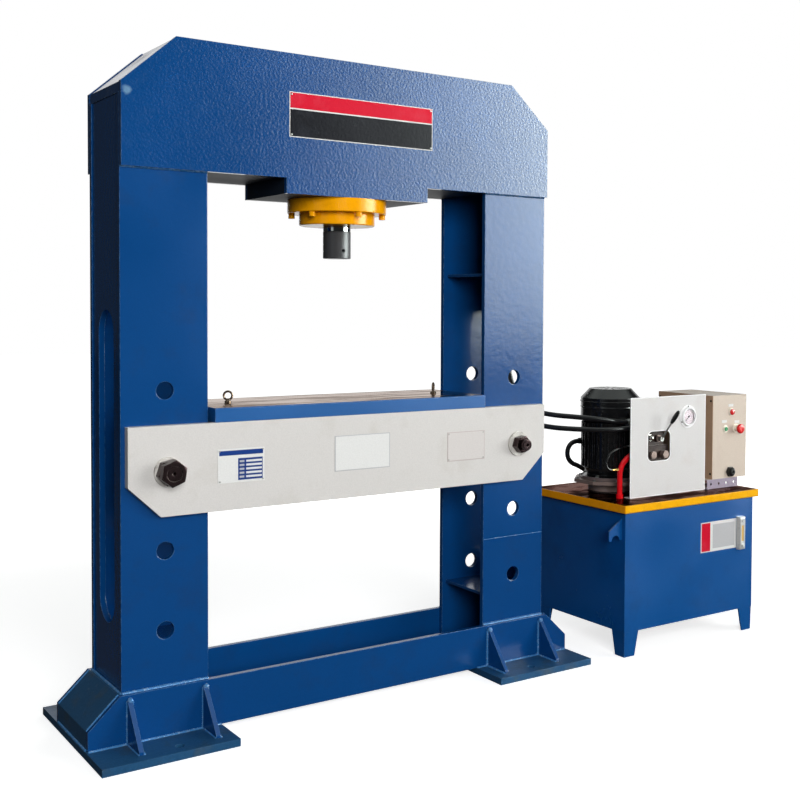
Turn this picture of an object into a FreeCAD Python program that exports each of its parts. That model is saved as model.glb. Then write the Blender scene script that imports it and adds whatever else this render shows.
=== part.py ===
"""Hydraulic frame press with its free-standing power unit.

Millimetres. +Z is up, +X is to the operator's right and +Y points to the rear. The origin lies on the
floor, under the ram's axis, midway between the two columns. The power unit stands on the same floor to
the right of the press.
"""

import FreeCAD
import Part
import math
import os

from FreeCAD import Vector

os.makedirs("parts", exist_ok=True)

X_AXIS = Vector(1, 0, 0)
Y_AXIS = Vector(0, 1, 0)
Z_AXIS = Vector(0, 0, 1)
FORWARD = Vector(0, -1, 0)
ORIGIN = Vector(0, 0, 0)

# ---------------------------------------------------------------- clearances
SLIDING_FIT = 0.05        # radial, shafts and spigots in their bores
BOLT_CLEARANCE = 1.0      # radial, bolts in plain holes
PIN_CLEARANCE = 0.5       # radial, table pins in the column and apron holes
PANEL_CLEARANCE = 0.3     # radial, devices in the holes of sheet panels

# ---------------------------------------------------------------- press frame
DAYLIGHT_WIDTH = 1160.0   # between the two columns
COLUMN_WIDTH = 300.0
COLUMN_DEPTH = 320.0      # over the outer faces of a column's front and rear plates
COLUMN_PLATE = 20.0
COLUMN_DROP = 200.0       # columns end this far under the crown's top
WEB_INSET = 5.0           # web set in from the plates' outer edges
SLOT_WIDTH = 160.0
SLOT_BOTTOM = 395.0
SLOT_TOP = 1460.0
RIB_THICKNESS = 12.0
RIB_INSET = 20.0
RIB_LEVELS = (300.0, 1600.0)

FOUNDATION_PLATE = 26.0
FOUNDATION_REACH = 120.0  # plate beyond the column's outer edge
FOUNDATION_INSIDE = 40.0  # plate beyond the column's inner edge
FOUNDATION_DEPTH = 690.0
ANCHOR_HOLE = 32.0
ANCHOR_FROM_EDGE = 55.0

RAIL_PLATE = 20.0
RAIL_TOP = 190.0
RAIL_OVERHANG = 115.0     # rail beyond the column's outer edge
RAIL_SHOULDER = 10.0
RAIL_NOSE = 90.0          # height where the sloped end turns vertical
END_PLATE = 16.0
GUSSET_THICKNESS = 16.0
GUSSET_REACH = 120.0
GUSSET_DROP = 20.0        # gusset top under the rail's top edge
GUSSET_NOSE = 10.0
GUSSET_INSET = 20.0       # gusset centre in from the column's edges

CROWN_PLATE = 20.0
CROWN_BOTTOM = 1930.0
CROWN_TOP = 2370.0
CROWN_CHAMFER_X = 185.0
CROWN_CHAMFER_Z = 165.0
STEP_HALF_WIDTH = 295.0
STEP_DROP = 55.0
CROWN_LID_PLATE = 16.0
CROWN_LID_INSET = 2.0
STIFFENER_THICKNESS = 16.0
STIFFENER_OFFSETS = (190.0, 480.0)

# ---------------------------------------------------------------- table
PIN_PITCH = 270.0
PIN_LEVEL = 920.0         # table pins at the photographed height
HOLES_ABOVE = 1
HOLES_BELOW = 2
PIN_HOLE = 60.0
APRON_PLATE = 30.0
APRON_BOTTOM = 770.0
APRON_TOP = 1075.0
APRON_HALF_LENGTH = 865.0
APRON_CHAMFER_X = 110.0
APRON_CHAMFER_Z = 105.0
TABLE_THICKNESS = 50.0
TABLE_SIDE_GAP = 15.0     # table plate to column, each side
TABLE_EDGE = 3.0
TABLE_RIB = 16.0
TABLE_RIB_DROP = 25.0     # rib's lower edge above the apron's
TABLE_RIB_HALF_SPAN = 480.0
TABLE_RIB_COUNT = 5
PIN_THREAD = 52.0
WASHER_DIAMETER = 100.0
WASHER_THICKNESS = 8.0
NUT_FLATS = 80.0
NUT_HEIGHT = 27.0
SMALL_THREAD = 44.0       # the right pin's threads and nuts are smaller
SMALL_NUT_FLATS = 62.0
SMALL_NUT_HEIGHT = 34.0
PIN_END = 24.0            # thread beyond the single nut
PIN_POINT = 2.0           # chamfer at the pin's ends
NUT_TURN = 12.0
SECOND_NUT_TURN = 9.0
CENTRE_DRILL = 14.0
EYE_SPACING = 880.0
EYE_RING = 15.0           # centre-line radius of the eye
EYE_BAR = 8.0
EYE_COLLAR = 24.0
EYE_NECK = 5.0
EYE_COLLAR_HEIGHT = 6.0
EYE_THREAD = 12.0
EYE_THREAD_LENGTH = 18.0

# ---------------------------------------------------------------- cylinder
BORE_DIAMETER = 220.0
BARREL_WALL = 30.0
BARREL_DROP = 40.0        # barrel's top under the crown's
BARREL_CAP = 45.0
FLANGE_WIDTH = 47.0       # flange beyond the barrel, all round
FLANGE_THICKNESS = 50.0
FLANGE_BOLTS = 6
FLANGE_BOLT = 16.0
FLANGE_BOLT_EDGE = 16.0   # bolt centres in from the flange's rim
SCREW_HEAD_RATIO = 1.5    # head diameter over thread diameter
SCREW_HEAD_HEIGHT = 18.0
SOCKET_RATIO = 0.86       # key socket over thread diameter
GLAND_WIDTH = 33.0        # gland beyond the bore, all round
GLAND_THICKNESS = 45.0
GLAND_SPIGOT = 40.0
GLAND_BOLTS = 8
GLAND_BOLT = 14.0
GLAND_BOLT_EDGE = 18.0    # bolt centres in from the gland's rim
GLAND_BOLT_DEPTH = 30.0
ROD_DIAMETER = 105.0
ROD_VISIBLE = 22.0        # bright rod below the gland at rest
PISTON_THICKNESS = 90.0
PISTON_TOP_GAP = 20.0
SEAL_WIDTH = 16.0
SEAL_DEPTH = 8.0
ROD_SPIGOT = 70.0
ROD_TAIL = 60.0
ROD_TAIL_LENGTH = 86.0
ROD_END_DIAMETER = 105.0
ROD_END_LENGTH = 101.0
SET_SCREW = 14.0
SET_SCREW_HEIGHT = 29.0   # above the rod end's face
PORT_THREAD = 26.0
PORT_BORE = 12.0
PORT_DEPTH = 20.0
UPPER_PORT_DROP = 12.0    # under the cap's inner face
LOWER_PORT_RISE = 50.0    # over the flange
PORT_REACH = 35.0         # elbow centre behind the crown's rear plate
PORT_HEX = 36.0
PORT_OUTLET = 52.0

# ---------------------------------------------------------------- oil tank
TANK_LEFT = 1172.0
TANK_WIDTH = 786.0
TANK_FRONT = -358.0
TANK_DEPTH = 585.0
TANK_BOTTOM = 105.0
TANK_TOP = 640.0
TANK_WALL = 5.0
LEG_WIDTH = 82.0
LEG_FOOT = 60.0
LEG_PLATE = 6.0
LEG_SLOPE = 4.0
LID_PLATE = 8.0
RIM_OVERHANG = 18.0
RIM_PLATE = 5.0
RIM_HEIGHT = 33.0
HOOK_PLATE = 8.0
HOOK_REACH = 72.0
HOOK_TOP = 588.0
HOOK_TIP = 540.0
HOOK_BOTTOM = 498.0
HOOK_NOTCH = 22.0
HOOK_FROM_CORNER = 20.0
LEVEL_GAUGE_X = 1871.0
LEVEL_GAUGE_WIDTH = 38.0
LEVEL_GAUGE_BOTTOM = 381.0
LEVEL_GAUGE_TOP = 530.0
LEVEL_GAUGE_DEPTH = 22.0
LEVEL_WINDOW_WIDTH = 15.0
LEVEL_WINDOW_LENGTH = 72.0
FILLER_X = 1640.0
FILLER_Y = 40.0
FILLER_DIAMETER = 60.0
FILLER_HEIGHT = 34.0

# ---------------------------------------------------------------- valve panel
PANEL_LEFT = 1295.0
PANEL_WIDTH = 460.0
PANEL_FACE = -250.0
PANEL_TOP = 1086.0
PANEL_SHEET = 3.0
PANEL_FOOT = 35.0
WINDOW_LEFT = 1398.0
WINDOW_RIGHT = 1533.0
WINDOW_BOTTOM = 803.0
WINDOW_TOP = 933.0
WINDOW_CORNER = 26.0

VALVE_LEFT = 1400.0
VALVE_WIDTH = 135.0
VALVE_FRONT = -236.0
VALVE_DEPTH = 76.0
VALVE_BOTTOM = 795.0
VALVE_SPOOL_BOTTOM = 870.0
VALVE_TOP = 1000.0
VALVE_EDGE = 6.0
BOSS_REACH = 6.0          # lever boss in front of the valve
VALVE_NOSE = 30.0         # diameter of the lever boss
VALVE_PLUG_X = 1502.0
VALVE_CAP_INSET = 40.0
VALVE_PLUG_Z = 828.0
VALVE_PLUG_FLATS = 32.0
VALVE_PLUG_REACH = 22.0
RELIEF_X = 1424.0
RELIEF_Z = 905.0
RELIEF_DIAMETER = 24.0
RELIEF_REACH = 26.0
FITTING_LENGTH = 35.0
FITTING_FLATS = 32.0

LEVER_X = 1474.0
LEVER_Z = 899.0
LEVER_HUB_FRONT = -262.0
LEVER_HUB_DIAMETER = 22.0
LEVER_ROD = 8.0
LEVER_TIP = (1508.0, -322.0, 1018.0)
LEVER_GRIP_SHARE = 0.60   # where the grip starts along the lever
GRIP_DIAMETER = 21.0
GRIP_OVERRUN = 10.0

GAUGE_X = 1642.0
GAUGE_Z = 989.0
GAUGE_FLANGE = 102.0
GAUGE_CASE = 78.0
GAUGE_DIAL = 71.0
GAUGE_DEPTH = 35.0
GAUGE_FRONT = 14.0        # bezel in front of the panel
GAUGE_FLANGE_SHEET = 2.5
GAUGE_RECESS = 11.0
GAUGE_GLASS = 2.0
GAUGE_STEM = 14.0
GAUGE_STEM_LENGTH = 28.0
NEEDLE_LENGTH = 29.0
NEEDLE_TIP = 0.6
NEEDLE_TAIL = 9.0
NEEDLE_SHEET = 1.0
NEEDLE_WIDTH = 3.0
NEEDLE_PIVOT = 3.0
NEEDLE_ZERO_DEGREES = 225.0

# ---------------------------------------------------------------- motor and pump, on one vertical axis
MOTOR_X = 1380.0
MOTOR_Y = -20.0
MOTOR_MOUNT_TOP = 707.0
MOUNT_PLATE = 15.0
MOUNT_ACROSS = 310.0
MOUNT_RING = 196.0
MOUNT_RING_WALL = 16.0
MOTOR_FLANGE = 266.0
MOTOR_FLANGE_THICKNESS = 13.0
MOTOR_BODY = 232.0
MOTOR_FINS = 32
FIN_HEIGHT = 14.0
FIN_SHEET = 4.0
FINS_BOTTOM = 757.0
FINS_TOP = 962.0
MOTOR_SHIELD_TOP = 985.0
STATOR_BORE = 141.0
STATOR_BOTTOM = 790.0
STATOR_TOP = 930.0
FRAME_CAVITY = 190.0
AIR_GAP = 0.5
MOTOR_SHAFT = 28.0
SHAFT_BOTTOM = 600.0
COVER_DIAMETER = 268.0
COVER_TOP = 1113.0
COVER_SHOULDER = 1072.0
COVER_CROWN = 190.0
COVER_BEAD = 1030.0
COVER_BEAD_PROUD = 2.0
COVER_SHEET = 3.0
COVER_SLOTS = 12
SLOT_OPENING = 9.0
FAN_DIAMETER = 216.0
FAN_BOTTOM = 1000.0
FAN_HEIGHT = 48.0
FAN_BLADES = 8
FAN_BLADE = 4.0
FAN_HUB = 60.0
CORE_GAP = 2.0            # rotor core shorter than the stator at each end
TERMINAL_LEFT = -24.0     # from the motor's axis
TERMINAL_WIDTH = 90.0
TERMINAL_DEPTH = 44.0
TERMINAL_BOTTOM = 815.0
TERMINAL_TOP = 905.0

BELL_DIAMETER = 160.0
BELL_WALL = 12.0
BELL_BOTTOM = 560.0
PUMP_DIAMETER = 130.0
PUMP_BOTTOM = 430.0
PUMP_SHAFT = 22.0
PUMP_SHAFT_BOTTOM = 480.0
COUPLING_DIAMETER = 58.0
COUPLING_TOP = 660.0
COUPLING_BOTTOM = 580.0
SUCTION_PIPE = 34.0
STRAINER_DIAMETER = 90.0
STRAINER_TOP = 300.0
STRAINER_BOTTOM = 170.0
STRAINER_CAP = 12.0
STRAINER_RIBS = 7

# ---------------------------------------------------------------- rigid pipes
RETURN_PIPE = 24.0
RETURN_COLLAR = 32.0
RETURN_COLLAR_HEIGHT = 18.0
RETURN_DIP = 120.0        # pipe inside the tank, under the lid
RETURN_ROUTE = [(1271.0, -210.0, 785.0), (1330.0, -214.0, 858.0)]
RETURN_END = (1400.0, -214.0, 838.0)
PRESSURE_PIPE = 22.0
PUMP_OUTLET_RISE = 50.0    # over the pump's bottom
PUMP_OUTLET_WALL = 8.0     # round the pressure pipe
PUMP_OUTLET_KNEE = 40.0
PIPE_END_GAP = 2.0
PRESSURE_PIPE_X = 1467.0
PRESSURE_PIPE_Y = -175.0
PIPE_BEND = 0.45          # share of the shorter run that a bend takes

# ---------------------------------------------------------------- hoses and motor conduit
HOSE_DIAMETER = 22.0
UPPER_HOSE_ROUTE = [
    (1365.0, -185.0, 974.0), (1310.0, -185.0, 974.0), (1225.0, -190.0, 988.0), (1105.0, -152.0, 1004.0),
    (990.0, -45.0, 1014.0), (955.0, 85.0, 1040.0), (962.0, 185.0, 1150.0), (966.0, 222.0, 1380.0),
    (970.0, 228.0, 1640.0), (950.0, 226.0, 1880.0), (850.0, 223.0, 2055.0), (650.0, 222.0, 2155.0),
    (440.0, 220.0, 2225.0), (240.0, 215.0, 2273.0), (52.0, 215.0, 2273.0),
]
LOWER_HOSE_ROUTE = [
    (1365.0, -216.0, 952.0), (1310.0, -216.0, 952.0), (1230.0, -213.0, 948.0), (1095.0, -172.0, 954.0),
    (985.0, -57.0, 960.0), (938.0, 88.0, 985.0), (925.0, 188.0, 1090.0), (922.0, 222.0, 1300.0),
    (918.0, 228.0, 1550.0), (900.0, 226.0, 1780.0), (820.0, 223.0, 1925.0), (680.0, 221.0, 1985.0),
    (500.0, 219.0, 2000.0), (330.0, 217.0, 1985.0), (190.0, 215.0, 1925.0), (52.0, 215.0, 1925.0),
]
CONDUIT_DIAMETER = 22.0
CONDUIT_RUN = [
    (1312.0, 116.0, 864.0), (1274.0, 116.0, 864.0), (1244.0, 116.5, 834.0), (1244.0, 117.0, 792.0),
    (1274.0, 122.0, 763.0), (1322.0, 138.0, 748.0), (1392.0, 158.0, 716.0), (1466.0, 163.0, 680.0),
    (1545.0, 165.0, 660.0), (1640.0, 168.0, 659.5), (1725.0, 171.0, 680.0), (1795.0, 175.0, 708.0),
    (1842.0, 176.0, 716.0), (1866.0, 162.0, 716.0),
]
CONDUIT_ENTRY = (1880.0, 716.0)   # in the box's rear, as (x, z)
CONDUIT_GLAND = 15.0
CONDUIT_LEAD = 28.0       # straight end before the gland

# ---------------------------------------------------------------- electric box
BOX_LEFT = 1792.0
BOX_WIDTH = 224.0
BOX_FRONT = -260.0
BOX_DEPTH = 355.0
BOX_BOTTOM = 692.0
BOX_TOP = 1076.0
BOX_SHEET = 2.0
BOX_RETURN = 22.0         # lip that carries the side cover
BRACKET_LEFT = 1764.0
BRACKET_WIDTH = 200.0
BRACKET_DEPTH = 40.0
BRACKET_SHEET = 3.0
BRACKET_HOLE = 12.0
BRACKET_HOLES = 4
DEVICE_HOLE = 22.0
BEZEL_DIAMETER = 34.0
BEZEL_HEIGHT = 5.0
DEVICE_DEPTH = 32.0
DEVICE_FLOOR = 8.0        # closed rear end of a device's body
DEVICE_EDGE = 1.0
LAMP_AT = (1914.0, 997.0)
START_AT = (1876.0, 920.0)
STOP_AT = (1944.0, 920.0)
GLAND_AT = (1908.0, 720.0)
LAMP_DIAMETER = 28.0
LAMP_DOME = 9.0
LAMP_STEM = 6.0
START_DIAMETER = 19.0
START_PROUD = 6.0
START_TRAVEL = 4.0
STOP_COLLAR = 16.0
STOP_PLATE = 42.0         # round plate under the stop button's collar
STOP_PLATE_HEIGHT = 4.0
STOP_STEM = 14.0
STOP_HEAD = 44.0
STOP_HEAD_HEIGHT = 18.0
STOP_TRAVEL = 5.0
CABLE_GLAND_FLATS = 43.0
CABLE_GLAND_HEX = 8.0
CABLE_GLAND_DOME = 16.0

# ---------------------------------------------------------------- derived places
COLUMN_TOP = CROWN_TOP - COLUMN_DROP
COLUMN_INNER = DAYLIGHT_WIDTH / 2
COLUMN_OUTER = COLUMN_INNER + COLUMN_WIDTH
COLUMN_MIDDLE = COLUMN_INNER + COLUMN_WIDTH / 2
COLUMN_FACE = COLUMN_DEPTH / 2
PLATE_INNER_FACE = COLUMN_FACE - COLUMN_PLATE
WEB_OUTER = COLUMN_OUTER - WEB_INSET
WEB_INNER = WEB_OUTER - COLUMN_PLATE
CROWN_FACE = COLUMN_FACE + CROWN_PLATE
STEP_BOTTOM = CROWN_BOTTOM - STEP_DROP
APRON_FACE = COLUMN_FACE + APRON_PLATE
PIN_LEVELS = [PIN_LEVEL + PIN_PITCH * n for n in range(-HOLES_BELOW, HOLES_ABOVE + 1)]
PIN_DIAMETER = PIN_HOLE - 2 * PIN_CLEARANCE
BARREL_DIAMETER = BORE_DIAMETER + 2 * BARREL_WALL
BARREL_TOP = CROWN_TOP - BARREL_DROP
BARREL_INNER_TOP = BARREL_TOP - BARREL_CAP
FLANGE_DIAMETER = BARREL_DIAMETER + 2 * FLANGE_WIDTH
FLANGE_BOLT_CIRCLE = FLANGE_DIAMETER - 2 * FLANGE_BOLT_EDGE
GLAND_DIAMETER = BORE_DIAMETER + 2 * GLAND_WIDTH
GLAND_BOLT_CIRCLE = GLAND_DIAMETER - 2 * GLAND_BOLT_EDGE
LOWER_PORT_LEVEL = STEP_BOTTOM + LOWER_PORT_RISE
FLANGE_BOTTOM = STEP_BOTTOM - FLANGE_THICKNESS
GLAND_BOTTOM = FLANGE_BOTTOM - GLAND_THICKNESS
PISTON_TOP = BARREL_INNER_TOP - PISTON_TOP_GAP
PISTON_BOTTOM = PISTON_TOP - PISTON_THICKNESS
ROD_BOTTOM = GLAND_BOTTOM - ROD_VISIBLE
RAM_FACE = ROD_BOTTOM - ROD_END_LENGTH
TANK_RIGHT = TANK_LEFT + TANK_WIDTH
TANK_REAR = TANK_FRONT + TANK_DEPTH
LID_TOP = TANK_TOP + LID_PLATE
RIM_TOP = LID_TOP
RIM_BOTTOM = RIM_TOP - RIM_HEIGHT
PANEL_BACK = PANEL_FACE + PANEL_SHEET
BOX_RIGHT = BOX_LEFT + BOX_WIDTH
BOX_REAR = BOX_FRONT + BOX_DEPTH
CONDUIT_ROUTE = CONDUIT_RUN + [
    (CONDUIT_ENTRY[0], BOX_REAR + CONDUIT_GLAND + CONDUIT_LEAD, CONDUIT_ENTRY[1]),
    (CONDUIT_ENTRY[0], BOX_REAR + CONDUIT_GLAND, CONDUIT_ENTRY[1]),
]


# ---------------------------------------------------------------- helpers
def block(x0, x1, y0, y1, z0, z1):
    """Box between two corners."""
    return Part.makeBox(x1 - x0, y1 - y0, z1 - z0, Vector(x0, y0, z0))


def rod(diameter, start, length, axis=Z_AXIS):
    """Cylinder that starts at a point and runs along an axis."""
    return Part.makeCylinder(diameter / 2, length, Vector(*start), axis)


def profile_y(points, y0, thickness):
    """Outline of (x, z) points, extruded along Y."""
    wire = Part.makePolygon([Vector(x, y0, z) for x, z in points + points[:1]])
    return Part.Face(wire).extrude(Vector(0, thickness, 0))


def profile_x(points, x0, thickness):
    """Outline of (y, z) points, extruded along X."""
    wire = Part.makePolygon([Vector(x0, y, z) for y, z in points + points[:1]])
    return Part.Face(wire).extrude(Vector(thickness, 0, 0))


def profile_z(points, z0, thickness):
    """Outline of (x, y) points, extruded along Z."""
    wire = Part.makePolygon([Vector(x, y, z0) for x, y in points + points[:1]])
    return Part.Face(wire).extrude(Vector(0, 0, thickness))


def regular_points(sides, flats, turn=0.0):
    """Corners of a regular polygon, given its width across flats."""
    radius = flats / 2 / math.cos(math.pi / sides)
    angles = [turn + 2 * math.pi * n / sides for n in range(sides)]
    return [(radius * math.cos(a), radius * math.sin(a)) for a in angles]


def hexagon(flats, start, length, axis=Z_AXIS, turn=0.0):
    """Hexagonal bar that starts at a point and runs along an axis."""
    bar = profile_z(regular_points(6, flats, turn), 0, length)
    bar.Placement = FreeCAD.Placement(Vector(*start), FreeCAD.Rotation(Z_AXIS, axis))
    return bar


def revolved(points, centre=ORIGIN, axis=Z_AXIS):
    """Solid of revolution from (radius, height) points about an axis through a centre."""
    wire = Part.makePolygon([Vector(r, 0, h) for r, h in points + points[:1]])
    solid = Part.Face(wire).revolve(ORIGIN, Z_AXIS, 360)
    solid.Placement = FreeCAD.Placement(Vector(*centre), FreeCAD.Rotation(Z_AXIS, axis))
    return solid


def mirrored(shape, normal):
    """Mirror image through the origin's plane with this normal."""
    return shape.mirror(ORIGIN, normal)


def both_sides(shape):
    """A shape with its image on the other side of the press, left and right."""
    return [mirrored(shape, X_AXIS), shape]


def front_and_rear(shapes):
    """Shapes with their images behind the press's middle plane."""
    return [s for shape in shapes for s in (shape, mirrored(shape, Y_AXIS))]


def around(count, diameter, first_degrees=0.0):
    """(x, y) places on a circle, evenly spaced."""
    angles = [math.radians(first_degrees) + 2 * math.pi * n / count for n in range(count)]
    return [(diameter / 2 * math.cos(a), diameter / 2 * math.sin(a)) for a in angles]


def joined(shapes):
    """One solid from overlapping or touching shapes."""
    return shapes[0].fuse(shapes[1:]).removeSplitter()


def group(shapes):
    """Several separate solids in one node."""
    return Part.makeCompound(shapes)


def folded(points, thickness, y0, depth):
    """Bent plate: an (x, z) centre-free polyline thickened on its right-hand side, extruded along Y."""
    offset = []
    for n, (x, z) in enumerate(points):
        before = points[max(n - 1, 0)]
        after = points[min(n + 1, len(points) - 1)]
        sides = [
            unit_normal(p, q) for p, q in ((before, (x, z)), ((x, z), after)) if p != q
        ]
        mean = (sum(s[0] for s in sides) / len(sides), sum(s[1] for s in sides) / len(sides))
        scale = thickness / (mean[0] ** 2 + mean[1] ** 2)
        offset.append((x + mean[0] * scale, z + mean[1] * scale))
    return profile_y(points + offset[::-1], y0, depth)


def unit_normal(start, end):
    """Unit normal on the right of a step in the XZ plane."""
    dx = end[0] - start[0]
    dz = end[1] - start[1]
    length = math.hypot(dx, dz)
    return dz / length, -dx / length


def route_wire(points, share=PIPE_BEND):
    """Straight runs joined by tangent arcs. Prints the tightest bend."""
    corners = [Vector(*p) for p in points]
    edges = []
    start = corners[0]
    tightest = None
    for before, corner, after in zip(corners, corners[1:], corners[2:]):
        incoming = (corner - before).normalize()
        outgoing = (after - corner).normalize()
        half_turn = incoming.getAngle(outgoing) / 2
        cut = share * min((corner - before).Length, (after - corner).Length)
        radius = cut / math.tan(half_turn)
        tightest = radius if tightest is None else min(tightest, radius)
        arc_start = corner - incoming * cut
        arc_end = corner + outgoing * cut
        towards = (outgoing - incoming).normalize()
        middle = corner + towards * (radius / math.cos(half_turn) - radius)
        edges.append(Part.LineSegment(start, arc_start).toShape())
        edges.append(Part.Arc(arc_start, middle, arc_end).toShape())
        start = arc_end
    edges.append(Part.LineSegment(start, corners[-1]).toShape())
    return Part.Wire(edges), tightest


def tube(points, diameter, bore=0.0):
    """Round tube or bar along a route."""
    path, tightest = route_wire(points)
    direction = Vector(*points[1]) - Vector(*points[0])
    rings = []
    for size in (diameter, bore):
        if size > 0:
            ring = Part.makeCircle(size / 2, Vector(*points[0]), direction)
            rings.append(path.makePipeShell([Part.Wire(ring)], True, False))
    solid = rings[0] if len(rings) == 1 else rings[0].cut(rings[1])
    expected = math.pi * (diameter**2 - bore**2) / 4 * path.Length
    ratio = solid.Volume / expected
    print(f"route {path.Length:.0f} long, tightest bend {tightest:.0f}, volume ratio {ratio:.4f}")
    return solid


# ---------------------------------------------------------------- foundation and base
def foundation_plates():
    """A thick plate under each column with a hole for a floor anchor front and rear."""
    half = FOUNDATION_DEPTH / 2
    inner = COLUMN_INNER - FOUNDATION_INSIDE
    plate = block(inner, COLUMN_OUTER + FOUNDATION_REACH, -half, half, 0, FOUNDATION_PLATE)
    for y in (-half + ANCHOR_FROM_EDGE, half - ANCHOR_FROM_EDGE):
        plate = plate.cut(rod(ANCHOR_HOLE, (COLUMN_MIDDLE, y, 0), FOUNDATION_PLATE))
    return group(both_sides(plate))


def end_outline():
    """The foot's sloped end from the foundation plate up to the column, as (x, z) points on the right."""
    return [
        (COLUMN_OUTER + RAIL_OVERHANG, FOUNDATION_PLATE),
        (COLUMN_OUTER + RAIL_OVERHANG, RAIL_NOSE),
        (COLUMN_OUTER + RAIL_SHOULDER, RAIL_TOP),
    ]


def base_rails():
    """Two long plates in front of and behind the columns, with sloped ends over the feet."""
    right = end_outline()
    left = [(-x, z) for x, z in reversed(right)]
    rail = profile_y(right + left, -COLUMN_FACE - RAIL_PLATE, RAIL_PLATE)
    return group(front_and_rear([rail]))


def foot_end_plates():
    """Bent plates that close the outer ends of the two feet between the rails."""
    line = [(COLUMN_OUTER, RAIL_TOP)] + end_outline()[::-1]
    plate = folded(line, END_PLATE, -COLUMN_FACE, COLUMN_DEPTH)
    return group(both_sides(plate))


def foot_gussets():
    """Eight triangular plates that brace the rails against the foundation plates."""
    face = -COLUMN_FACE - RAIL_PLATE
    top = RAIL_TOP - GUSSET_DROP
    outline = [
        (face, FOUNDATION_PLATE),
        (face - GUSSET_REACH, FOUNDATION_PLATE),
        (face - GUSSET_REACH, FOUNDATION_PLATE + GUSSET_NOSE),
        (face - GUSSET_NOSE, top),
        (face, top),
    ]
    gussets = []
    for x in (COLUMN_INNER + GUSSET_INSET, COLUMN_OUTER - GUSSET_INSET):
        gussets += both_sides(profile_x(outline, x - GUSSET_THICKNESS / 2, GUSSET_THICKNESS))
    return group(front_and_rear(gussets))


# ---------------------------------------------------------------- columns
def column_plates():
    """Front and rear plate of each column, with the row of holes for the table pins."""
    plate = block(COLUMN_INNER, COLUMN_OUTER, -COLUMN_FACE, -PLATE_INNER_FACE, FOUNDATION_PLATE, COLUMN_TOP)
    for z in PIN_LEVELS:
        plate = plate.cut(rod(PIN_HOLE, (COLUMN_MIDDLE, -COLUMN_FACE, z), COLUMN_PLATE, Y_AXIS))
    return group(front_and_rear(both_sides(plate)))


def column_webs():
    """Outer web of each column, with its long round-ended lightening slot."""
    web = block(WEB_INNER, WEB_OUTER, -PLATE_INNER_FACE, PLATE_INNER_FACE, FOUNDATION_PLATE, COLUMN_TOP)
    half = SLOT_WIDTH / 2
    web = web.cut(block(WEB_INNER, WEB_OUTER, -half, half, SLOT_BOTTOM + half, SLOT_TOP - half))
    for z in (SLOT_BOTTOM + half, SLOT_TOP - half):
        web = web.cut(rod(SLOT_WIDTH, (WEB_INNER, 0, z), COLUMN_PLATE, X_AXIS))
    return group(both_sides(web))


def column_ribs():
    """Level plates inside the columns that tie front plate, rear plate and web together."""
    ribs = []
    for z in RIB_LEVELS:
        inner = COLUMN_INNER + RIB_INSET
        rib = block(inner, WEB_INNER, -PLATE_INNER_FACE, PLATE_INNER_FACE, z, z + RIB_THICKNESS)
        ribs += both_sides(rib)
    return group(ribs)


# ---------------------------------------------------------------- crown
def crown_outline():
    """Outline of the crown's front and rear plates as (x, z) points."""
    right = [
        (STEP_HALF_WIDTH, STEP_BOTTOM),
        (STEP_HALF_WIDTH, CROWN_BOTTOM),
        (COLUMN_OUTER, CROWN_BOTTOM),
        (COLUMN_OUTER, CROWN_TOP - CROWN_CHAMFER_Z),
        (COLUMN_OUTER - CROWN_CHAMFER_X, CROWN_TOP),
    ]
    return right + [(-x, z) for x, z in reversed(right)]


def crown_front_plate():
    """Thick front plate of the crown, lapped over the columns' front plates."""
    return profile_y(crown_outline(), -CROWN_FACE, CROWN_PLATE)


def crown_rear_plate():
    """Thick rear plate of the crown, with holes for the two cylinder ports."""
    plate = profile_y(crown_outline(), COLUMN_FACE, CROWN_PLATE)
    for z in port_levels():
        plate = plate.cut(rod(PORT_HEX, (0, COLUMN_FACE, z), CROWN_PLATE, Y_AXIS))
    return plate


def crown_top_plate():
    """Plate over the crown, bent down along both chamfers, set in a little from the outline."""
    inset = CROWN_LID_INSET
    right = [
        (COLUMN_OUTER - inset, COLUMN_TOP),
        (COLUMN_OUTER - inset, CROWN_TOP - CROWN_CHAMFER_Z - inset),
        (COLUMN_OUTER - CROWN_CHAMFER_X - inset, CROWN_TOP - inset),
    ]
    line = [(-x, z) for x, z in right] + right[::-1]
    return folded(line, CROWN_LID_PLATE, -COLUMN_FACE, COLUMN_DEPTH)


def crown_bottom_plate():
    """Stepped plate under the crown, with the hole for the cylinder and its tapped bolt holes."""
    right = [
        (STEP_HALF_WIDTH, STEP_BOTTOM),
        (STEP_HALF_WIDTH, CROWN_BOTTOM),
        (COLUMN_INNER, CROWN_BOTTOM),
    ]
    line = right[::-1] + [(-x, z) for x, z in right]
    plate = folded(line, CROWN_PLATE, -COLUMN_FACE, COLUMN_DEPTH)
    hole = BARREL_DIAMETER + 2 * BOLT_CLEARANCE
    plate = plate.cut(rod(hole, (0, 0, STEP_BOTTOM), CROWN_PLATE))
    for x, y in around(FLANGE_BOLTS, FLANGE_BOLT_CIRCLE, 30):
        if abs(y) < COLUMN_FACE:
            plate = plate.cut(rod(FLANGE_BOLT + 2 * SLIDING_FIT, (x, y, STEP_BOTTOM), CROWN_PLATE))
    return plate


def crown_stiffeners():
    """Upright plates inside the crown, between its front and rear plates."""
    roof = CROWN_TOP - CROWN_LID_INSET - CROWN_LID_PLATE
    plates = []
    for x in STIFFENER_OFFSETS:
        floor = (STEP_BOTTOM if x < STEP_HALF_WIDTH else CROWN_BOTTOM) + CROWN_PLATE
        half = STIFFENER_THICKNESS / 2
        plates += both_sides(block(x - half, x + half, -COLUMN_FACE, COLUMN_FACE, floor, roof))
    return group(plates)


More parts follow.
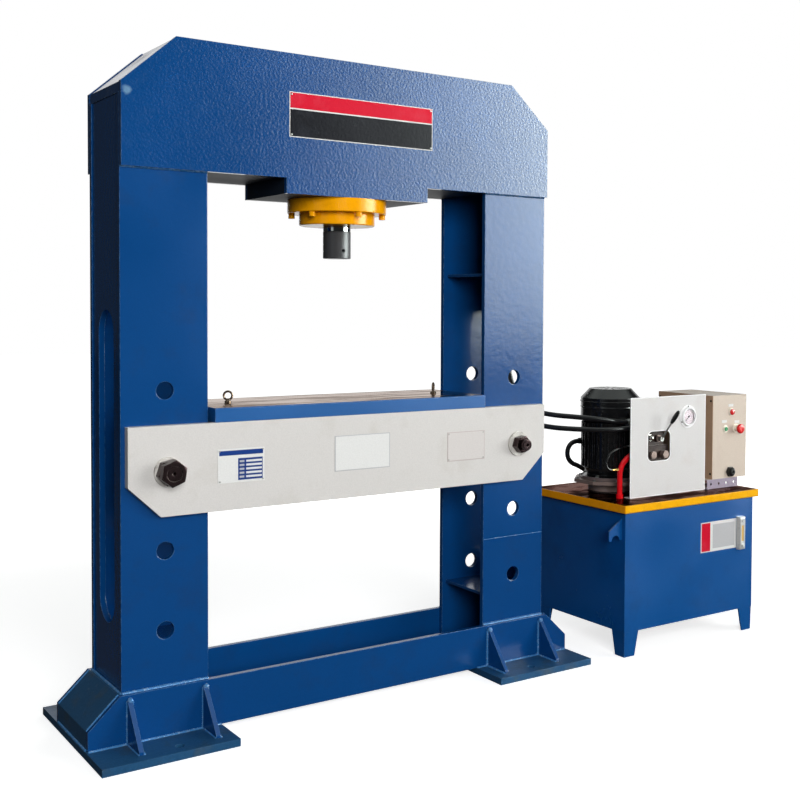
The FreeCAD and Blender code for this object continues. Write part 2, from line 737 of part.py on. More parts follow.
# ---------------------------------------------------------------- table
def apron_outline():
    """Long apron with cut-off lower corners, as (x, z) points."""
    right = [
        (APRON_HALF_LENGTH - APRON_CHAMFER_X, APRON_BOTTOM),
        (APRON_HALF_LENGTH, APRON_BOTTOM + APRON_CHAMFER_Z),
        (APRON_HALF_LENGTH, APRON_TOP),
    ]
    return right + [(-x, z) for x, z in reversed(right)]


def table_aprons():
    """Front and rear apron of the table, drilled for the two pins."""
    apron = profile_y(apron_outline(), -APRON_FACE, APRON_PLATE)
    for x in (-COLUMN_MIDDLE, COLUMN_MIDDLE):
        apron = apron.cut(rod(PIN_HOLE, (x, -APRON_FACE, PIN_LEVEL), APRON_PLATE, Y_AXIS))
    return group(front_and_rear([apron]))


def table_plate():
    """Machined plate on top of the aprons, tapped for two eye bolts."""
    half = COLUMN_INNER - TABLE_SIDE_GAP
    plate = block(-half, half, -APRON_FACE, APRON_FACE, APRON_TOP, APRON_TOP + TABLE_THICKNESS)
    top = [e for e in plate.Edges if e.BoundBox.ZMin > APRON_TOP + TABLE_THICKNESS - 1]
    plate = plate.makeChamfer(TABLE_EDGE, top)
    depth = EYE_THREAD_LENGTH + BOLT_CLEARANCE
    for x in (-EYE_SPACING / 2, EYE_SPACING / 2):
        hole = rod(EYE_THREAD + 2 * SLIDING_FIT, (x, 0, APRON_TOP + TABLE_THICKNESS - depth), depth)
        plate = plate.cut(hole)
    return plate


def table_ribs():
    """Cross plates under the table plate, between the two aprons."""
    ribs = []
    for n in range(TABLE_RIB_COUNT):
        x = -TABLE_RIB_HALF_SPAN + n * 2 * TABLE_RIB_HALF_SPAN / (TABLE_RIB_COUNT - 1)
        half = TABLE_RIB / 2
        low = APRON_BOTTOM + TABLE_RIB_DROP
        ribs.append(block(x - half, x + half, -COLUMN_FACE, COLUMN_FACE, low, APRON_TOP))
    return group(ribs)


def pin_ends():
    """The left and the right pin as (x, thread, nut flats, nut height)."""
    return [
        (-COLUMN_MIDDLE, PIN_THREAD, NUT_FLATS, NUT_HEIGHT),
        (COLUMN_MIDDLE, SMALL_THREAD, SMALL_NUT_FLATS, SMALL_NUT_HEIGHT),
    ]


def table_pins():
    """Pins through aprons and columns, threaded at both ends and centre-drilled."""
    pins = []
    for x, thread, _, nut_height in pin_ends():
        reach = APRON_FACE + WASHER_THICKNESS + nut_height + PIN_END
        half = [
            (0, -reach),
            (thread / 2 - PIN_POINT, -reach),
            (thread / 2, -reach + PIN_POINT),
            (thread / 2, -APRON_FACE),
            (PIN_DIAMETER / 2, -APRON_FACE),
        ]
        outline = half + [(r, -h) for r, h in reversed(half)]
        pin = revolved(outline, (x, 0, PIN_LEVEL), Y_AXIS)
        for y, way in ((-reach, 1), (reach, -1)):
            drill = Part.makeCone(
                CENTRE_DRILL / 2, 0, CENTRE_DRILL, Vector(x, y, PIN_LEVEL), Vector(0, way, 0)
            )
            pin = pin.cut(drill)
        pins.append(pin)
    return group(pins)


def pin_washers():
    """Large flat washers between the aprons and the pin nuts."""
    washer_face = APRON_FACE + WASHER_THICKNESS
    washers = []
    for x, thread, _, _ in pin_ends():
        disc = rod(WASHER_DIAMETER, (x, -washer_face, PIN_LEVEL), WASHER_THICKNESS, Y_AXIS)
        hole = rod(thread + 2 * SLIDING_FIT, (x, -washer_face, PIN_LEVEL), WASHER_THICKNESS, Y_AXIS)
        washers.append(disc.cut(hole))
    return front_and_rear(washers)


def hex_nut(flats, hole, height):
    """Hexagon nut on the Z axis with chamfered corners, its seat at z = 0."""
    nut = profile_z(regular_points(6, flats), 0, height)
    corner = flats / 2 / math.cos(math.pi / 6)
    drop = (corner - flats / 2) / 2
    cone = revolved([
        (0, 0), (corner, 0), (corner, height - drop), (flats / 2, height), (0, height),
    ])
    return nut.common(cone).cut(rod(hole, (0, 0, 0), height))


def pin_nuts():
    """Washers and hexagon nuts on the pin ends: the left front end carries a second, locking nut."""
    nuts = pin_washers()
    for x, thread, flats, height in pin_ends():
        for side in (-1, 1):
            locked = x < 0 and side < 0
            for n in range(2 if locked else 1):
                seat = side * (APRON_FACE + WASHER_THICKNESS + n * height)
                nut = hex_nut(flats, thread + 2 * SLIDING_FIT, height)
                turn = FreeCAD.Rotation(Z_AXIS, NUT_TURN + SECOND_NUT_TURN * n)
                aim = FreeCAD.Rotation(Z_AXIS, Vector(0, side, 0))
                nut.Placement = FreeCAD.Placement(Vector(x, seat, PIN_LEVEL), aim.multiply(turn))
                nuts.append(nut)
    return group(nuts)


def eye_bolts():
    """Two eye bolts in the table plate, each turned its own way."""
    top = APRON_TOP + TABLE_THICKNESS
    bolts = []
    for x, turn in ((-EYE_SPACING / 2, 62.0), (EYE_SPACING / 2, 137.0)):
        eye_centre = EYE_COLLAR_HEIGHT + EYE_NECK + EYE_RING
        ring = Part.makeTorus(EYE_RING, EYE_BAR / 2, Vector(0, 0, eye_centre), X_AXIS)
        collar = rod(EYE_COLLAR, (0, 0, 0), EYE_COLLAR_HEIGHT)
        neck = Part.makeCone(
            EYE_COLLAR / 2, EYE_BAR / 2, EYE_NECK, Vector(0, 0, EYE_COLLAR_HEIGHT), Z_AXIS
        )
        shank = rod(EYE_THREAD, (0, 0, -EYE_THREAD_LENGTH), EYE_THREAD_LENGTH)
        bolt = joined([collar, neck, ring, shank])
        bolt.Placement = FreeCAD.Placement(Vector(x, 0, top), FreeCAD.Rotation(Z_AXIS, turn))
        bolts.append(bolt)
    return group(bolts)


# ---------------------------------------------------------------- cylinder
def port_levels():
    """Heights of the lower and the upper cylinder port."""
    return LOWER_PORT_LEVEL, BARREL_INNER_TOP - UPPER_PORT_DROP


def cylinder_barrel():
    """Barrel with a closed top and a bolting flange, bored for the piston."""
    barrel = revolved([
        (BORE_DIAMETER / 2, FLANGE_BOTTOM),
        (FLANGE_DIAMETER / 2 - 2, FLANGE_BOTTOM),
        (FLANGE_DIAMETER / 2, FLANGE_BOTTOM + 2),
        (FLANGE_DIAMETER / 2, STEP_BOTTOM),
        (BARREL_DIAMETER / 2, STEP_BOTTOM),
        (BARREL_DIAMETER / 2, BARREL_TOP - 8),
        (BARREL_DIAMETER / 2 - 8, BARREL_TOP),
        (0, BARREL_TOP),
        (0, BARREL_INNER_TOP),
        (BORE_DIAMETER / 2, BARREL_INNER_TOP),
    ])
    for x, y in around(FLANGE_BOLTS, FLANGE_BOLT_CIRCLE, 30):
        hole = FLANGE_BOLT + 2 * BOLT_CLEARANCE
        barrel = barrel.cut(rod(hole, (x, y, FLANGE_BOTTOM), FLANGE_THICKNESS))
    for x, y in around(GLAND_BOLTS, GLAND_BOLT_CIRCLE):
        hole = GLAND_BOLT + 2 * SLIDING_FIT
        barrel = barrel.cut(rod(hole, (x, y, FLANGE_BOTTOM), GLAND_BOLT_DEPTH))
    for z in port_levels():
        outside = BARREL_DIAMETER / 2
        thread = rod(PORT_THREAD + 2 * SLIDING_FIT, (0, outside - PORT_DEPTH, z), 2 * PORT_DEPTH, Y_AXIS)
        bore = rod(PORT_BORE, (0, BORE_DIAMETER / 2 - PORT_DEPTH, z), 2 * PORT_DEPTH, Y_AXIS)
        barrel = barrel.cut([thread, bore])
    return barrel


def cylinder_gland():
    """Bolted gland ring that closes the barrel and guides the rod."""
    guide = ROD_DIAMETER / 2 + SLIDING_FIT
    gland = revolved([
        (guide, GLAND_BOTTOM),
        (GLAND_DIAMETER / 2 - 3, GLAND_BOTTOM),
        (GLAND_DIAMETER / 2, GLAND_BOTTOM + 3),
        (GLAND_DIAMETER / 2, FLANGE_BOTTOM),
        (BORE_DIAMETER / 2 - SLIDING_FIT, FLANGE_BOTTOM),
        (BORE_DIAMETER / 2 - SLIDING_FIT, FLANGE_BOTTOM + GLAND_SPIGOT),
        (guide, FLANGE_BOTTOM + GLAND_SPIGOT),
    ])
    head = GLAND_BOLT * SCREW_HEAD_RATIO + 2 * BOLT_CLEARANCE
    for x, y in around(GLAND_BOLTS, GLAND_BOLT_CIRCLE):
        hole = rod(GLAND_BOLT + 2 * BOLT_CLEARANCE, (x, y, GLAND_BOTTOM), GLAND_THICKNESS)
        recess = rod(head, (x, y, GLAND_BOTTOM), SCREW_HEAD_HEIGHT)
        gland = gland.cut([hole, recess])
    return gland


def socket_screw(thread, length):
    """Socket-head screw that hangs from z = 0: the head below, the shank above."""
    head = rod(thread * SCREW_HEAD_RATIO, (0, 0, -SCREW_HEAD_HEIGHT), SCREW_HEAD_HEIGHT)
    key = hexagon(thread * SOCKET_RATIO, (0, 0, -SCREW_HEAD_HEIGHT), thread / 2)
    return joined([head, rod(thread, (0, 0, 0), length)]).cut(key)


def cylinder_bolts():
    """Six flange screws and eight gland screws."""
    screws = []
    for x, y in around(FLANGE_BOLTS, FLANGE_BOLT_CIRCLE, 30):
        length = FLANGE_THICKNESS + (CROWN_PLATE if abs(y) < COLUMN_FACE else 0)
        screw = socket_screw(FLANGE_BOLT, length)
        screw.translate(Vector(x, y, FLANGE_BOTTOM))
        screws.append(screw)
    for x, y in around(GLAND_BOLTS, GLAND_BOLT_CIRCLE):
        seat = GLAND_BOTTOM + SCREW_HEAD_HEIGHT
        screw = socket_screw(GLAND_BOLT, GLAND_THICKNESS - SCREW_HEAD_HEIGHT + GLAND_BOLT_DEPTH - 2)
        screw.translate(Vector(x, y, seat))
        screws.append(screw)
    return group(screws)


def seal_levels():
    """Lower edges of the two piston seals."""
    third = PISTON_THICKNESS / 3
    return [PISTON_BOTTOM + n * third - SEAL_WIDTH / 2 for n in (1, 2)]


def piston():
    """Piston with two seal grooves, bored for the rod's spigot."""
    outer = BORE_DIAMETER / 2 - SLIDING_FIT
    body = revolved([
        (ROD_SPIGOT / 2 + SLIDING_FIT, PISTON_BOTTOM),
        (outer, PISTON_BOTTOM),
        (outer, PISTON_TOP - 3),
        (outer - 3, PISTON_TOP),
        (ROD_SPIGOT / 2 + SLIDING_FIT, PISTON_TOP),
    ])
    for z in seal_levels():
        core = rod(2 * (outer - SEAL_DEPTH), (0, 0, z), SEAL_WIDTH)
        body = body.cut(rod(2 * outer, (0, 0, z), SEAL_WIDTH).cut(core))
    return body


def piston_seals():
    """Two seal rings in the piston's grooves."""
    outer = BORE_DIAMETER / 2 - SLIDING_FIT
    rings = []
    for z in seal_levels():
        ring = rod(2 * outer, (0, 0, z), SEAL_WIDTH)
        rings.append(ring.cut(rod(2 * (outer - SEAL_DEPTH), (0, 0, z), SEAL_WIDTH)))
    return group(rings)


def piston_rod():
    """Hard-chromed rod with a spigot in the piston and a tail in the rod end."""
    return revolved([
        (0, ROD_BOTTOM - ROD_TAIL_LENGTH),
        (ROD_TAIL / 2, ROD_BOTTOM - ROD_TAIL_LENGTH),
        (ROD_TAIL / 2, ROD_BOTTOM),
        (ROD_DIAMETER / 2 - 2, ROD_BOTTOM),
        (ROD_DIAMETER / 2, ROD_BOTTOM + 2),
        (ROD_DIAMETER / 2, PISTON_BOTTOM),
        (ROD_SPIGOT / 2, PISTON_BOTTOM),
        (ROD_SPIGOT / 2, PISTON_TOP),
        (0, PISTON_TOP),
    ])


def rod_end():
    """Blackened pressing nose on the rod's tail, with a radial hole for its set screw."""
    body = revolved([
        (0, RAM_FACE),
        (ROD_END_DIAMETER / 2 - 2, RAM_FACE),
        (ROD_END_DIAMETER / 2, RAM_FACE + 2),
        (ROD_END_DIAMETER / 2, ROD_BOTTOM),
        (ROD_TAIL / 2 + SLIDING_FIT, ROD_BOTTOM),
        (ROD_TAIL / 2 + SLIDING_FIT, ROD_BOTTOM - ROD_TAIL_LENGTH),
        (0, ROD_BOTTOM - ROD_TAIL_LENGTH),
    ])
    radius = ROD_END_DIAMETER / 2
    hole = rod(SET_SCREW, (0, -radius, RAM_FACE + SET_SCREW_HEIGHT), radius, Y_AXIS)
    core = rod(ROD_TAIL + 2 * SLIDING_FIT, (0, 0, RAM_FACE), ROD_END_LENGTH)
    return body.cut(hole.cut(core))


def cylinder_ports():
    """Elbow fittings of the two ports: through the rear plate, then turned towards the power unit."""
    elbow_y = CROWN_FACE + PORT_REACH
    start = BARREL_DIAMETER / 2 - PORT_DEPTH + BOLT_CLEARANCE
    fittings = []
    for z in port_levels():
        stem = rod(PORT_THREAD, (0, start, z), elbow_y - start, Y_AXIS)
        body = hexagon(PORT_HEX, (0, CROWN_FACE + 4, z), PORT_REACH - 4, Y_AXIS)
        knee = Part.makeSphere(PORT_THREAD / 2, Vector(0, elbow_y, z))
        outlet = rod(PORT_THREAD, (0, elbow_y, z), PORT_OUTLET - 12, X_AXIS)
        collar = hexagon(PORT_HEX - 4, (PORT_OUTLET - 22, elbow_y, z), 22, X_AXIS)
        fittings.append(joined([stem, body, knee, outlet, collar]))
    return group(fittings)


# ---------------------------------------------------------------- oil tank
def tank_body():
    """Open-topped welded tank."""
    outer = block(TANK_LEFT, TANK_RIGHT, TANK_FRONT, TANK_REAR, TANK_BOTTOM, TANK_TOP)
    inner = block(
        TANK_LEFT + TANK_WALL, TANK_RIGHT - TANK_WALL, TANK_FRONT + TANK_WALL, TANK_REAR - TANK_WALL,
        TANK_BOTTOM + TANK_WALL, TANK_TOP,
    )
    return outer.cut(inner)


def tank_hooks():
    """Sling hooks welded to the tank's left side in front and to its right side at the rear."""
    hooks = []
    for wall, way, y in (
        (TANK_LEFT, -1, TANK_FRONT + HOOK_FROM_CORNER),
        (TANK_RIGHT, 1, TANK_REAR - HOOK_FROM_CORNER - HOOK_PLATE),
    ):
        tip = wall + way * HOOK_REACH
        outline = [(wall, HOOK_TOP), (tip, HOOK_TIP), (tip, HOOK_BOTTOM), (wall, HOOK_BOTTOM)]
        notch = rod(2 * HOOK_NOTCH, (wall + way * HOOK_REACH / 2, y, HOOK_BOTTOM), HOOK_PLATE, Y_AXIS)
        hooks.append(profile_y(outline, y, HOOK_PLATE).cut(notch))
    return group(hooks)


def tank_legs():
    """Four angle legs that taper towards the floor, under the tank's corners."""
    def leg_side(width, foot):
        return [(0, TANK_BOTTOM), (width, TANK_BOTTOM), (foot, 0), (LEG_SLOPE, 0)]

    legs = []
    for x, way_x in ((TANK_LEFT, 1), (TANK_RIGHT, -1)):
        for y, way_y in ((TANK_FRONT, 1), (TANK_REAR, -1)):
            along_x = [(x + way_x * a, z) for a, z in leg_side(LEG_WIDTH, LEG_FOOT)]
            along_y = [(y + way_y * a, z) for a, z in leg_side(LEG_WIDTH, LEG_FOOT)]
            front = profile_y(along_x, y + way_y * LEG_SLOPE / 2, way_y * LEG_PLATE)
            side = profile_x(along_y, x + way_x * LEG_SLOPE / 2, way_x * LEG_PLATE)
            legs.append(joined([front, side]))
    return group(legs)


def lid_rim():
    """Angle-section rim round the lid."""
    out = RIM_OVERHANG
    outer = block(
        TANK_LEFT - out, TANK_RIGHT + out, TANK_FRONT - out, TANK_REAR + out, RIM_BOTTOM, RIM_TOP
    )
    pocket = block(
        TANK_LEFT - out + RIM_PLATE, TANK_RIGHT + out - RIM_PLATE,
        TANK_FRONT - out + RIM_PLATE, TANK_REAR + out - RIM_PLATE, RIM_BOTTOM + RIM_PLATE, RIM_TOP,
    )
    tank = block(TANK_LEFT, TANK_RIGHT, TANK_FRONT, TANK_REAR, RIM_BOTTOM, RIM_TOP)
    return outer.cut([pocket, tank])


def tank_lid():
    """Lid plate inside the rim, with the openings for pump and pipes and the filler cap's neck."""
    edge = RIM_OVERHANG - RIM_PLATE
    lid = block(TANK_LEFT - edge, TANK_RIGHT + edge, TANK_FRONT - edge, TANK_REAR + edge, TANK_TOP, LID_TOP)
    filler = revolved([
        (0, LID_TOP),
        (FILLER_DIAMETER / 2 + 6, LID_TOP),
        (FILLER_DIAMETER / 2 + 6, LID_TOP + 5),
        (FILLER_DIAMETER / 2, LID_TOP + 5),
        (FILLER_DIAMETER / 2, LID_TOP + FILLER_HEIGHT - 4),
        (FILLER_DIAMETER / 2 - 4, LID_TOP + FILLER_HEIGHT),
        (0, LID_TOP + FILLER_HEIGHT),
    ], (FILLER_X, FILLER_Y, 0))
    holes = [
        rod(BELL_DIAMETER + 2 * BOLT_CLEARANCE, (MOTOR_X, MOTOR_Y, TANK_TOP), LID_PLATE),
        rod(RETURN_PIPE + 2 * SLIDING_FIT, (RETURN_ROUTE[0][0], RETURN_ROUTE[0][1], TANK_TOP), LID_PLATE),
        rod(PRESSURE_PIPE + 2 * SLIDING_FIT, (PRESSURE_PIPE_X, PRESSURE_PIPE_Y, TANK_TOP), LID_PLATE),
    ]
    return joined([lid, filler]).cut(holes)


def level_gauge():
    """Oil level gauge on the tank's front: a metal body round a clear window."""
    half = LEVEL_GAUGE_WIDTH / 2
    face = TANK_FRONT - LEVEL_GAUGE_DEPTH
    body = block(
        LEVEL_GAUGE_X - half, LEVEL_GAUGE_X + half, face, TANK_FRONT, LEVEL_GAUGE_BOTTOM, LEVEL_GAUGE_TOP
    )
    long_edges = [e for e in body.Edges if e.BoundBox.YLength < 1 and e.BoundBox.YMin < face + 1]
    body = body.makeFillet(half / 3, long_edges)
    middle = (LEVEL_GAUGE_BOTTOM + LEVEL_GAUGE_TOP) / 2
    slot_half = LEVEL_WINDOW_LENGTH / 2
    window = block(
        LEVEL_GAUGE_X - LEVEL_WINDOW_WIDTH / 2, LEVEL_GAUGE_X + LEVEL_WINDOW_WIDTH / 2,
        face, face + 3, middle - slot_half, middle + slot_half,
    )
    return body.cut(window)


# ---------------------------------------------------------------- valve panel and valve
def valve_panel():
    """Upright sheet with a rounded window, a gauge hole and a foot bent back onto the lid."""
    sheet = block(PANEL_LEFT, PANEL_LEFT + PANEL_WIDTH, PANEL_FACE, PANEL_BACK, LID_TOP, PANEL_TOP)
    foot = block(
        PANEL_LEFT, PANEL_LEFT + PANEL_WIDTH, PANEL_FACE, PANEL_FACE + PANEL_FOOT,
        LID_TOP, LID_TOP + PANEL_SHEET,
    )
    window = block(
        WINDOW_LEFT, WINDOW_RIGHT, PANEL_FACE, PANEL_FACE + PANEL_SHEET, WINDOW_BOTTOM, WINDOW_TOP
    )
    corners = [e for e in window.Edges if e.BoundBox.YLength > PANEL_SHEET / 2]
    window = window.makeFillet(WINDOW_CORNER, corners)
    gauge = rod(GAUGE_CASE + 2 * PANEL_CLEARANCE, (GAUGE_X, PANEL_FACE, GAUGE_Z), PANEL_SHEET, Y_AXIS)
    side = block(
        PANEL_LEFT + PANEL_WIDTH - PANEL_SHEET, PANEL_LEFT + PANEL_WIDTH,
        PANEL_FACE, PANEL_FACE + PANEL_FOOT, LID_TOP, PANEL_TOP,
    )
    return joined([sheet, foot, side]).cut([window, gauge])


def valve_block():
    """Hand valve: a manifold, the spool housing on it, the lever boss and the hose fittings."""
    right = VALVE_LEFT + VALVE_WIDTH
    rear = VALVE_FRONT + VALVE_DEPTH
    manifold = block(VALVE_LEFT, right, VALVE_FRONT, rear, VALVE_BOTTOM, VALVE_SPOOL_BOTTOM)
    manifold = manifold.makeChamfer(VALVE_EDGE, [e for e in manifold.Edges if e.BoundBox.YLength > 1])
    housing = block(VALVE_LEFT, right - 20, VALVE_FRONT + 6, rear - 12, VALVE_SPOOL_BOTTOM - 8, VALVE_TOP)
    housing = housing.makeFillet(VALVE_EDGE, [e for e in housing.Edges if e.BoundBox.ZLength > 20])
    boss = rod(VALVE_NOSE, (LEVER_X, VALVE_FRONT - BOSS_REACH, LEVER_Z), 20, Y_AXIS)
    plug_front = (VALVE_PLUG_X, VALVE_FRONT - VALVE_PLUG_REACH, VALVE_PLUG_Z)
    plug = hexagon(VALVE_PLUG_FLATS, plug_front, VALVE_PLUG_REACH + 4, Y_AXIS)
    cap_front = (VALVE_LEFT + VALVE_CAP_INSET, VALVE_FRONT - VALVE_PLUG_REACH / 2, VALVE_PLUG_Z)
    cap = rod(VALVE_PLUG_FLATS, cap_front, VALVE_PLUG_REACH, Y_AXIS)
    fittings = []
    for x, y, z in (UPPER_HOSE_ROUTE[0], LOWER_HOSE_ROUTE[0]):
        fittings.append(hexagon(FITTING_FLATS * 0.85, (x, y, z), FITTING_LENGTH + 2, X_AXIS))
    solid = joined([manifold, housing, boss, plug, cap] + fittings)
    feed = rod(PRESSURE_PIPE + 2 * SLIDING_FIT, (PRESSURE_PIPE_X, PRESSURE_PIPE_Y, VALVE_BOTTOM), 15)
    back = rod(RETURN_PIPE + 2 * SLIDING_FIT, (VALVE_LEFT, RETURN_END[1], RETURN_END[2]), 15, X_AXIS)
    shaft_hole = LEVER_HUB_DIAMETER / 2 + 2 * SLIDING_FIT
    shaft = rod(shaft_hole, (LEVER_X, VALVE_FRONT - BOSS_REACH, LEVER_Z), 16, Y_AXIS)
    relief = rod(RELIEF_DIAMETER + 2 * SLIDING_FIT, (RELIEF_X, VALVE_FRONT, RELIEF_Z), 20, Y_AXIS)
    return solid.cut([feed, back, shaft, relief])


def relief_valve():
    """Screw-in relief valve with its lock nut and bright cap."""
    seat = VALVE_FRONT + 6
    outline = [
        (0, -14), (RELIEF_DIAMETER / 2, -14), (RELIEF_DIAMETER / 2, RELIEF_REACH - 12),
        (RELIEF_DIAMETER / 2 - 3, RELIEF_REACH - 4), (RELIEF_DIAMETER / 2 - 7, RELIEF_REACH),
        (0, RELIEF_REACH),
    ]
    body = revolved(outline, (RELIEF_X, seat, RELIEF_Z), FORWARD)
    nut = hexagon(RELIEF_DIAMETER + 6, (RELIEF_X, seat, RELIEF_Z), 6, FORWARD)
    return joined([body, nut])


def lever_points():
    """Where the lever's rod leaves its hub, where the grip starts and the tip."""
    root = Vector(LEVER_X, LEVER_HUB_FRONT + LEVER_ROD / 2, LEVER_Z)
    tip = Vector(*LEVER_TIP)
    return root, root + (tip - root) * LEVER_GRIP_SHARE, tip


def valve_lever():
    """Lever hub with its pivot in the valve and the slanted rod."""
    root, _, tip = lever_points()
    pivot = rod(LEVER_HUB_DIAMETER / 2, (LEVER_X, VALVE_FRONT + 8, LEVER_Z), 30, FORWARD)
    hub_length = VALVE_FRONT - BOSS_REACH - PANEL_CLEARANCE - LEVER_HUB_FRONT
    hub = rod(LEVER_HUB_DIAMETER, (LEVER_X, LEVER_HUB_FRONT, LEVER_Z), hub_length, Y_AXIS)
    bar = Part.makeCylinder(LEVER_ROD / 2, (tip - root).Length, root, tip - root)
    return joined([hub, pivot, bar])


def lever_grip():
    """Oval plastic grip pushed over the lever's end."""
    _, grip_start, tip = lever_points()
    length = (tip - grip_start).Length + GRIP_OVERRUN
    shape = [(0, 0), (0.55, 0), (0.9, 0.2), (1.0, 0.45), (0.95, 0.7), (0.7, 0.92), (0.35, 1.0), (0, 1.0)]
    grip = revolved([(r * GRIP_DIAMETER / 2, h * length) for r, h in shape])
    bore = rod(LEVER_ROD, (0, 0, 0), (tip - grip_start).Length)
    grip = grip.cut(bore)
    grip.Placement = FreeCAD.Placement(grip_start, FreeCAD.Rotation(Z_AXIS, tip - grip_start))
    return grip


def gauge_case():
    """Panel-mounted pressure gauge case with flange, bezel and rear connection."""
    front = PANEL_FACE - GAUGE_FRONT
    outline = [
        (0, -GAUGE_RECESS),
        (GAUGE_DIAL / 2, -GAUGE_RECESS),
        (GAUGE_DIAL / 2, 0),
        (GAUGE_CASE / 2 + 2, 0),
        (GAUGE_CASE / 2 + 4, -3),
        (GAUGE_CASE / 2 + 4, GAUGE_FLANGE_SHEET - GAUGE_FRONT),
        (GAUGE_FLANGE / 2, GAUGE_FLANGE_SHEET - GAUGE_FRONT),
        (GAUGE_FLANGE / 2, -GAUGE_FRONT),
        (GAUGE_CASE / 2, -GAUGE_FRONT),
        (GAUGE_CASE / 2, -GAUGE_FRONT - GAUGE_DEPTH),
        (GAUGE_STEM / 2, -GAUGE_FRONT - GAUGE_DEPTH),
        (GAUGE_STEM / 2, -GAUGE_FRONT - GAUGE_DEPTH - GAUGE_STEM_LENGTH),
        (0, -GAUGE_FRONT - GAUGE_DEPTH - GAUGE_STEM_LENGTH),
    ]
    case = revolved(outline, (GAUGE_X, front, GAUGE_Z), FORWARD)
    dial = front + GAUGE_RECESS
    return case.cut(rod(NEEDLE_PIVOT + 2 * SLIDING_FIT, (GAUGE_X, dial, GAUGE_Z), 6, Y_AXIS))


def gauge_glass():
    """Flat glass in the gauge's bezel."""
    front = PANEL_FACE - GAUGE_FRONT + 1
    return rod(GAUGE_DIAL - 2 * SLIDING_FIT, (GAUGE_X, front, GAUGE_Z), GAUGE_GLASS, Y_AXIS)


def gauge_needle():
    """Pointer with its counterweight and pivot, at zero."""
    dial = PANEL_FACE - GAUGE_FRONT + GAUGE_RECESS
    level = dial - 4
    half = NEEDLE_WIDTH / 2
    tip = NEEDLE_TIP / 2
    outline = [
        (-NEEDLE_TAIL, -half), (0, -half), (NEEDLE_LENGTH, -tip), (NEEDLE_LENGTH, tip),
        (0, half), (-NEEDLE_TAIL, half),
    ]
    turn = math.radians(NEEDLE_ZERO_DEGREES)
    turned = [
        (
            GAUGE_X + a * math.cos(turn) - b * math.sin(turn),
            GAUGE_Z + a * math.sin(turn) + b * math.cos(turn),
        )
        for a, b in outline
    ]
    pointer = profile_y(turned, level, NEEDLE_SHEET)
    pivot = rod(NEEDLE_PIVOT, (GAUGE_X, level, GAUGE_Z), dial + 5 - level, Y_AXIS)
    hub = rod(NEEDLE_PIVOT * 3, (GAUGE_X, level - 0.5, GAUGE_Z), 2, Y_AXIS)
    return joined([pointer, pivot, hub])


# ---------------------------------------------------------------- motor and pump
def at_motor(shape):
    """Moves a shape modelled on the Z axis to the motor's axis."""
    shape.translate(Vector(MOTOR_X, MOTOR_Y, 0))
    return shape


def motor_frame():
    """Finned motor frame with stator, flange, upper shield and terminal box."""
    flange_top = MOTOR_MOUNT_TOP + MOTOR_FLANGE_THICKNESS
    bearing = MOTOR_SHAFT / 2 + SLIDING_FIT
    body = revolved([
        (bearing, MOTOR_MOUNT_TOP),
        (MOTOR_FLANGE / 2, MOTOR_MOUNT_TOP),
        (MOTOR_FLANGE / 2, flange_top),
        (MOTOR_BODY / 2 - 12, flange_top + 8),
        (MOTOR_BODY / 2, FINS_BOTTOM),
        (MOTOR_BODY / 2, FINS_TOP),
        (COVER_DIAMETER / 2 - COVER_SHEET, FINS_TOP + 8),
        (COVER_DIAMETER / 2 - COVER_SHEET, MOTOR_SHIELD_TOP),
        (bearing, MOTOR_SHIELD_TOP),
        (bearing, MOTOR_SHIELD_TOP - 20),
        (FRAME_CAVITY / 2, MOTOR_SHIELD_TOP - 20),
        (FRAME_CAVITY / 2, STATOR_TOP),
        (STATOR_BORE / 2, STATOR_TOP),
        (STATOR_BORE / 2, STATOR_BOTTOM),
        (FRAME_CAVITY / 2, STATOR_BOTTOM),
        (FRAME_CAVITY / 2, FINS_BOTTOM),
        (bearing, FINS_BOTTOM),
    ])
    fins = []
    fin_outer = MOTOR_BODY / 2 + FIN_HEIGHT
    for n in range(MOTOR_FINS):
        fin = block(MOTOR_BODY / 2 - 3, fin_outer, -FIN_SHEET / 2, FIN_SHEET / 2, FINS_BOTTOM + 4, FINS_TOP)
        fin.rotate(ORIGIN, Z_AXIS, 360 / MOTOR_FINS * n)
        fins.append(fin)
    box = block(
        TERMINAL_LEFT, TERMINAL_LEFT + TERMINAL_WIDTH, MOTOR_BODY / 2 - 8, fin_outer + TERMINAL_DEPTH,
        TERMINAL_BOTTOM, TERMINAL_TOP,
    )
    solid = at_motor(joined([body, box] + fins))
    end = CONDUIT_ROUTE[0]
    sleeve = rod(CONDUIT_DIAMETER + 6, end, MOTOR_X + TERMINAL_LEFT - end[0] + 4, X_AXIS)
    nut = hexagon(CONDUIT_DIAMETER + 12, (MOTOR_X + TERMINAL_LEFT - 14, end[1], end[2]), 16, X_AXIS)
    return joined([solid, sleeve, nut])


def fan_cover():
    """Pressed cover over the fan: a cone on a cylinder, a bead round it and air slots in its top."""
    wall = COVER_SHEET
    outer = COVER_DIAMETER / 2
    crown = COVER_CROWN / 2
    cover = revolved([
        (outer - wall, FINS_TOP + 8),
        (outer, FINS_TOP + 8),
        (outer, COVER_BEAD - 5),
        (outer + COVER_BEAD_PROUD, COVER_BEAD),
        (outer, COVER_BEAD + 5),
        (outer, COVER_SHOULDER),
        (crown, COVER_TOP),
        (0, COVER_TOP),
        (0, COVER_TOP - wall),
        (crown - wall, COVER_TOP - wall),
        (outer - wall, COVER_SHOULDER - wall),
    ])
    slots = []
    for n in range(COVER_SLOTS):
        half = SLOT_OPENING / 2
        slot = block(crown * 0.3, crown * 0.85, -half, half, COVER_TOP - wall, COVER_TOP)
        slot.rotate(ORIGIN, Z_AXIS, 360 / COVER_SLOTS * n)
        slots.append(slot)
    return at_motor(cover.cut(slots))


